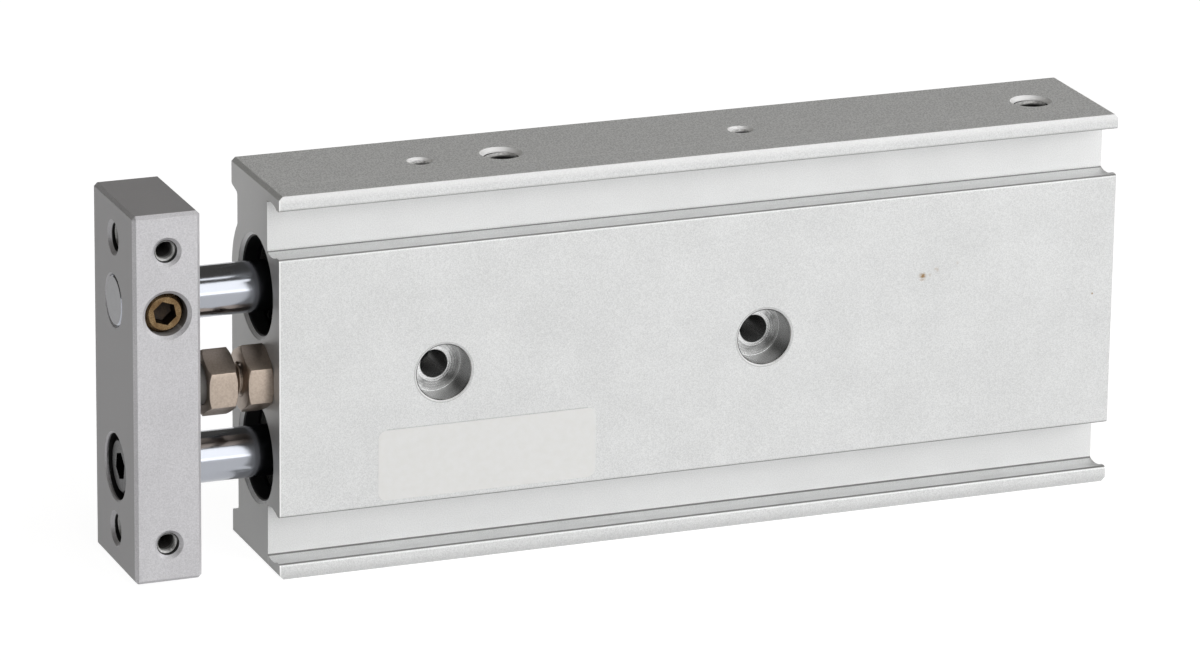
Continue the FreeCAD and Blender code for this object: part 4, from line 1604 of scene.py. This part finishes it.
@dataclass
class Carriage:
    """The moving part: end plate, rods, pistons and their screws.

    Lengths are in millimetres and turns in degrees.
    """

    tap_z: Span = (BORE_MIDDLE + PLATE_TAP_HALF_PITCH, BORE_MIDDLE - PLATE_TAP_HALF_PITCH)
    upper_rod_z: float = BORE_MIDDLE + BORE_HALF_PITCH
    lower_rod_z: float = BORE_MIDDLE - BORE_HALF_PITCH
    face_thread: ThreadForm = ThreadForm(1.67, 1.42, 0.7)
    side_thread: ThreadForm = ThreadForm(1.27, 1.06, 0.5)
    face_depth: Span = (0.5, 7.5)
    side_depth: Span = (0.42, 4.9)
    # The cap screw: how deep its head lies, the head, its sloping rim, which starts
    # outside a radius, and the shank.
    cap_sunk: float = 0.6
    cap_head: float = 7.0
    cap_height: float = 4.0
    cap_rim: float = 0.4
    cap_rim_drop: float = 0.35
    cap_rim_radius: float = 3.2
    cap_shank: float = 4.0
    cap_length: float = 13.0
    cap_socket: HexSocket = HexSocket(3.0, 2.0, 12.0)
    knurls: int = 60
    knurl_root: float = 0.965
    # The clamp screw: how deep it lies, its thread, its rim and its socket.
    clamp_sunk: float = 0.9
    clamp_diameter: float = 4.92
    clamp_length: float = 3.57
    clamp_thread: float = 0.3
    clamp_pitch: float = 0.5
    clamp_depth: Span = (0.32, 3.27)
    clamp_rim: float = 0.22
    clamp_socket: HexSocket = HexSocket(2.5, 2.1, 18.0)
    # The part of the clamp screw that is socket: its radius and its two ends below the top.
    socket_radius: float = 1.42
    socket_reach: Span = (0.05, 2.5)
    overlap: float = 0.05

    def threads(self) -> None:
        """Cut the threads of the plate's face and sides."""
        face = self.face_thread.ridge("plate_face_thread_upper", *self.face_depth)
        side = self.side_thread.ridge("plate_side_thread_1", *self.side_depth)
        faces = [Mouth((PLATE_FACE, 0, z), FRONT_END) for z in self.tap_z]
        sides = [
            Mouth((PLATE_MIDDLE, PLATE_HALF_WIDTH * outward.y, z), outward)
            for outward in (NEAR, BACK)
            for z in self.tap_z
        ]
        copies = [f"plate_side_thread_{number}" for number in (2, 3, 4)]
        tap_holes(face, ["plate_face_thread_lower"], faces, TAPPED_FACE, Body.CARRIAGE)
        tap_holes(side, copies, sides, TAPPED_SIDE, Body.CARRIAGE)

    def cap_screw(self) -> None:
        """Turn the black cap screw with its knurled head."""
        radius = self.cap_head / 2
        piece = bar("cap_screw_knurled", radius, self.cap_height, self.knurls * 2)
        step = math.pi / self.knurls
        with shaping(piece):
            pick(piece, Part.VERTEX, lambda p: round(math.atan2(p.y, p.x) / step) % 2 == 0)
            resize(self.knurl_root, self.knurl_root, 1)
            pick_level(piece, Part.FACE, 0.0)
            inset(self.cap_rim)
            pick(
                piece,
                Part.VERTEX,
                lambda p: abs(p.z) < SAME and math.hypot(p.x, p.y) > self.cap_rim_radius,
            )
            move(0, 0, -self.cap_rim_drop)
            pick_level(piece, Part.FACE, -self.cap_height)
            inset(radius - self.cap_shank / 2)
            extrude(self.cap_height - self.cap_length)
        self.cap_socket.sink(piece)
        settle(piece, (PLATE_FACE + self.cap_sunk, 0, self.lower_rod_z), FRONT_END)
        fit(piece, BLACK_STEEL, Body.CARRIAGE, "plate_cap_screw")

    def clamp_screw(self) -> None:
        """Turn the browned set screw that clamps the upper rod."""
        crest = self.clamp_diameter / 2
        root = crest - self.clamp_thread
        piece = bar("clamp_screw_threaded", root, self.clamp_length)
        with shaping(piece):
            pick_level(piece, Part.EDGE, 0.0)
            bpy.ops.mesh.bevel(offset=self.clamp_rim * MM, segments=1, profile=0.5)
        self.clamp_socket.sink(piece)
        form = ThreadForm(root - self.overlap, crest, self.clamp_pitch)
        thread = form.ridge("clamp_screw_ridge", *self.clamp_depth)
        hold(piece, thread)
        bpy.ops.object.join()
        top = self.clamp_sunk - PLATE_HALF_WIDTH
        settle(piece, (PLATE_MIDDLE, top, self.upper_rod_z), NEAR)
        fit(piece, BRONZED_STEEL, Body.CARRIAGE, "rod_clamp_screw")
        first, last = (top + reach for reach in self.socket_reach)
        inlay(
            piece,
            SOOT,
            lambda p: first < p.y < last
            and math.hypot(p.x - PLATE_MIDDLE, p.z - self.upper_rod_z) < self.socket_radius,
        )

    def build(self) -> None:
        """Dress the plate, the rods and what rides on them, then add threads and screws."""
        dress("plate", PLATE)
        for side in ("upper", "lower"):
            for node, finish in (
                ("piston_rod", CHROME),
                ("piston", TURNED_ALUMINIUM),
                ("piston_seal", NITRILE),
                ("magnet", MAGNET),
            ):
                dress(f"{node}_{side}", finish)
        self.threads()
        self.cap_screw()
        self.clamp_screw()


@dataclass
class StopScrew:
    """The adjusting bolt with its lock nut and pad, in millimetres."""

    offset: float = 3.0
    flats: float = 7.0
    edge: float = 0.07
    # How far the corners are turned down, measured across: both ends of the bolt's
    # head, then the nut's two ends.
    head_turned: Span = (0.5, 0.5)
    nut_turned: Span = (0.55, 0.45)
    head_height: float = 3.4
    nut_height: float = 3.0
    thread_in_view: float = 1.3
    pocket: float = 5.1
    pocket_depth: float = 1.4
    shank: float = 4.0
    pitch: float = 0.7
    thread_depth: float = 0.42
    bolt_length: float = 17.2
    # How far pieces that are joined run into each other, and how far short of the
    # bolt's end its thread stops.
    overlap: float = 0.05
    seated: float = 0.2
    thread_seated: float = 0.1
    bare_end: float = 0.3
    # How far a cutting tool reaches past what it cuts.
    over: float = 0.5
    slack: float = 0.01
    # Slivers and crumbs of the cutting, shorter than these, are welded away.
    sliver: float = 0.02
    crumb: float = 0.002

    def hexagon(self, name: str, height: float, turned: Span) -> Piece:
        """Turn the corners off a hexagonal bar at 30 degrees, as on a bolt head or nut.

        Args:
            name: Name of the piece.
            height: Height of the bar.
            turned: How far the top and bottom corners are turned down, measured across.

        Returns:
            The hexagon, hanging from the origin.
        """
        corner = self.flats / 2 / COS30
        piece = bar(name, corner, height, sides=6)
        slack = self.slack
        blank = bar("turned_blank", corner + 2 * slack, height + 2 * slack, top=slack)
        with shaping(blank):
            for level, across, down in (
                (slack, turned[0], -TAN30),
                (-height - slack, turned[1], TAN30),
            ):
                pick_level(blank, Part.FACE, level)
                inset(across)
                pick(
                    blank,
                    Part.VERTEX,
                    lambda p: abs(p.z - level) < SAME and math.hypot(p.x, p.y) > corner,
                )
                move(0, 0, across * down)
        cut(piece, blank, Cut.KEEP_INSIDE)
        weld(piece, self.sliver)
        apply(
            piece,
            "BEVEL",
            width=self.edge * MM,
            segments=2,
            limit_method="ANGLE",
            angle_limit=math.radians(24),
        )
        weld(piece, self.crumb)
        return piece

    def bolt(self) -> None:
        """Make the bolt: a chamfered head with a pocket for the pad, and a thread."""
        piece = self.hexagon("stop_bolt_threaded", self.head_height, self.head_turned)
        depth = self.pocket_depth + self.over
        cut(piece, bar("pocket_tool", self.pocket / 2, depth, top=self.over))
        root = self.shank / 2 - self.thread_depth
        core = bar("bolt_core", root, self.bolt_length - self.head_height + self.seated)
        with shaping(core):
            pick_all()
            move(0, 0, self.seated - self.head_height)
        form = ThreadForm(root - self.overlap, self.shank / 2, self.pitch)
        start = self.head_height - self.thread_seated
        thread = form.ridge("bolt_ridge", start, self.bolt_length - self.bare_end)
        hold(piece, core, thread)
        bpy.ops.object.join()
        nut_x = BODY_FRONT_END - self.nut_height
        head_x = nut_x - self.thread_in_view - self.head_height
        settle(piece, (head_x, -self.offset, BORE_MIDDLE), FRONT_END)
        fit(piece, NICKEL, Body.STOP_BOLT, "stop_bolt")

    def nut(self) -> None:
        """Make the lock nut and bore it for the bolt."""
        piece = self.hexagon("stop_nut_chamfered", self.nut_height, self.nut_turned)
        radius, length = self.shank / 2 + self.overlap, self.nut_height + 2 * self.over
        cut(piece, bar("nut_hole_tool", radius, length, top=self.over))
        settle(piece, (BODY_FRONT_END - self.nut_height, -self.offset, BORE_MIDDLE), FRONT_END)
        fit(piece, NICKEL, Body.HOUSING, "stop_nut")

    def build(self) -> None:
        """Make the bolt and the nut, and dress the pad."""
        self.bolt()
        self.nut()
        dress("stop_pad", URETHANE)


# ---------------------------------------------------------------- studio


class Softbox(NamedTuple):
    """A rectangular soft lamp: place, width and height in metres, and its power."""

    name: str
    place: Point
    size: Span
    watts: float


@dataclass
class Studio:
    """White table, soft lamps and the camera, in metres and degrees."""

    target: Point = (-0.00138, 0.0, 0.02306)
    distance: float = 0.781
    azimuth: float = -21.705
    elevation: float = 17.905
    roll: float = 0.769
    lens: float = 199.57
    film_width: float = 36.0
    sharp: Span = (0.01, 50.0)
    table_radius: float = 4.0
    table_rim: float = 0.6
    # The table as the cylinder is lit by it, and as it is seen or mirrored.
    laminate: str = "#909090"
    veil: str = "#8C8C8C"
    glow: float = 0.94
    sky: str = "#5F5D59"
    lamps: tuple[Softbox, Softbox] = (
        Softbox("key_softbox", (0.66, -0.93, 0.46), (2.4, 1.3), 22.5),
        Softbox("top_strip", (-0.05, -0.25, 0.85), (0.8, 0.12), 0.7),
    )

    def camera(self) -> None:
        """Set up the camera on its stand."""
        azimuth, elevation = math.radians(self.azimuth), math.radians(self.elevation)
        level = math.cos(elevation)
        back = Vector(
            (math.sin(azimuth) * level, -math.cos(azimuth) * level, math.sin(elevation))
        )
        right = Vector((math.cos(azimuth), math.sin(azimuth), 0.0))
        up = back.cross(right)
        turn = Matrix.Rotation(math.radians(self.roll), 3, back)
        axes = Matrix((turn @ right, turn @ up, back)).transposed()
        data = bpy.data.cameras.new("camera")
        data.lens = self.lens
        data.sensor_width = self.film_width
        data.clip_start, data.clip_end = self.sharp
        camera = bpy.data.objects.new("camera", data)
        bpy.context.scene.collection.objects.link(camera)
        place = Vector(self.target) + back * self.distance
        camera.matrix_world = Matrix.Translation(place) @ axes.to_4x4()
        bpy.context.scene.camera = camera

    def hang(self, softbox: Softbox) -> None:
        """Hang a soft lamp so that it faces the cylinder.

        Args:
            softbox: The lamp.
        """
        data = bpy.data.lights.new(softbox.name, "AREA")
        data.shape = "RECTANGLE"
        data.size, data.size_y = softbox.size
        data.energy = softbox.watts
        lamp = bpy.data.objects.new(softbox.name, data)
        bpy.context.scene.collection.objects.link(lamp)
        lamp.location = softbox.place
        aim = Vector(self.target) - Vector(softbox.place)
        lamp.rotation_euler = aim.to_track_quat("-Z", "Y").to_euler()

    def laminate_top(self) -> bpy.types.Material:
        """Make the table's laminate, which glows white where it is seen.

        Returns:
            The material.
        """
        material = bpy.data.materials.new("white_table_laminate")
        material.use_nodes = True
        material.node_tree.nodes.clear()
        shader = Shader(material.node_tree)
        rays = shader.add("LightPath").outputs
        seen = shader.either(
            rays["Is Camera Ray"], rays["Is Glossy Ray"], rays["Is Transmission Ray"]
        )
        laminate = shader.add("BsdfDiffuse", inputs={"Color": linear(self.laminate)})
        veil = shader.add("BsdfDiffuse", inputs={"Color": linear(self.veil)})
        glow = shader.add("Emission", inputs={"Color": (1, 1, 1, 1), "Strength": self.glow})
        white = shader.add("AddShader", inputs={0: veil.outputs[0], 1: glow.outputs[0]})
        both = shader.add(
            "MixShader", inputs={0: seen, 1: laminate.outputs[0], 2: white.outputs[0]}
        )
        shader.add("OutputMaterial", inputs={"Surface": both.outputs[0]})
        return material

    def table(self) -> None:
        """Lay the white table top with its raised rim, which keeps the soft shadow."""
        bpy.ops.object.select_all(action="DESELECT")
        bpy.ops.mesh.primitive_circle_add(
            vertices=64, radius=self.table_radius, fill_type="NGON", location=(0, 0, 0)
        )
        top = take("table_top")
        with shaping(top):
            pick_all()
            bpy.ops.mesh.region_to_loop()
            extrude(self.table_rim / MM)
        top.data.materials.append(self.laminate_top())

    def build(self) -> None:
        """Set the camera, the table, the lamps and the grey room."""
        self.camera()
        self.table()
        for softbox in self.lamps:
            self.hang(softbox)
        world = bpy.data.worlds.new("grey_studio")
        world.use_nodes = True
        world.node_tree.nodes["Background"].inputs["Color"].default_value = linear(self.sky)
        bpy.context.scene.world = world
        bpy.context.scene.view_settings.view_transform = "Standard"


def main() -> None:
    """Build the studio, then each sub-assembly."""
    logging.basicConfig(level=logging.INFO, format="%(message)s")
    for assembly in (Studio(), Housing(), Carriage(), StopScrew()):
        assembly.build()
        LOG.info("%s built", type(assembly).__name__)


if __name__ == "__main__":
    main()
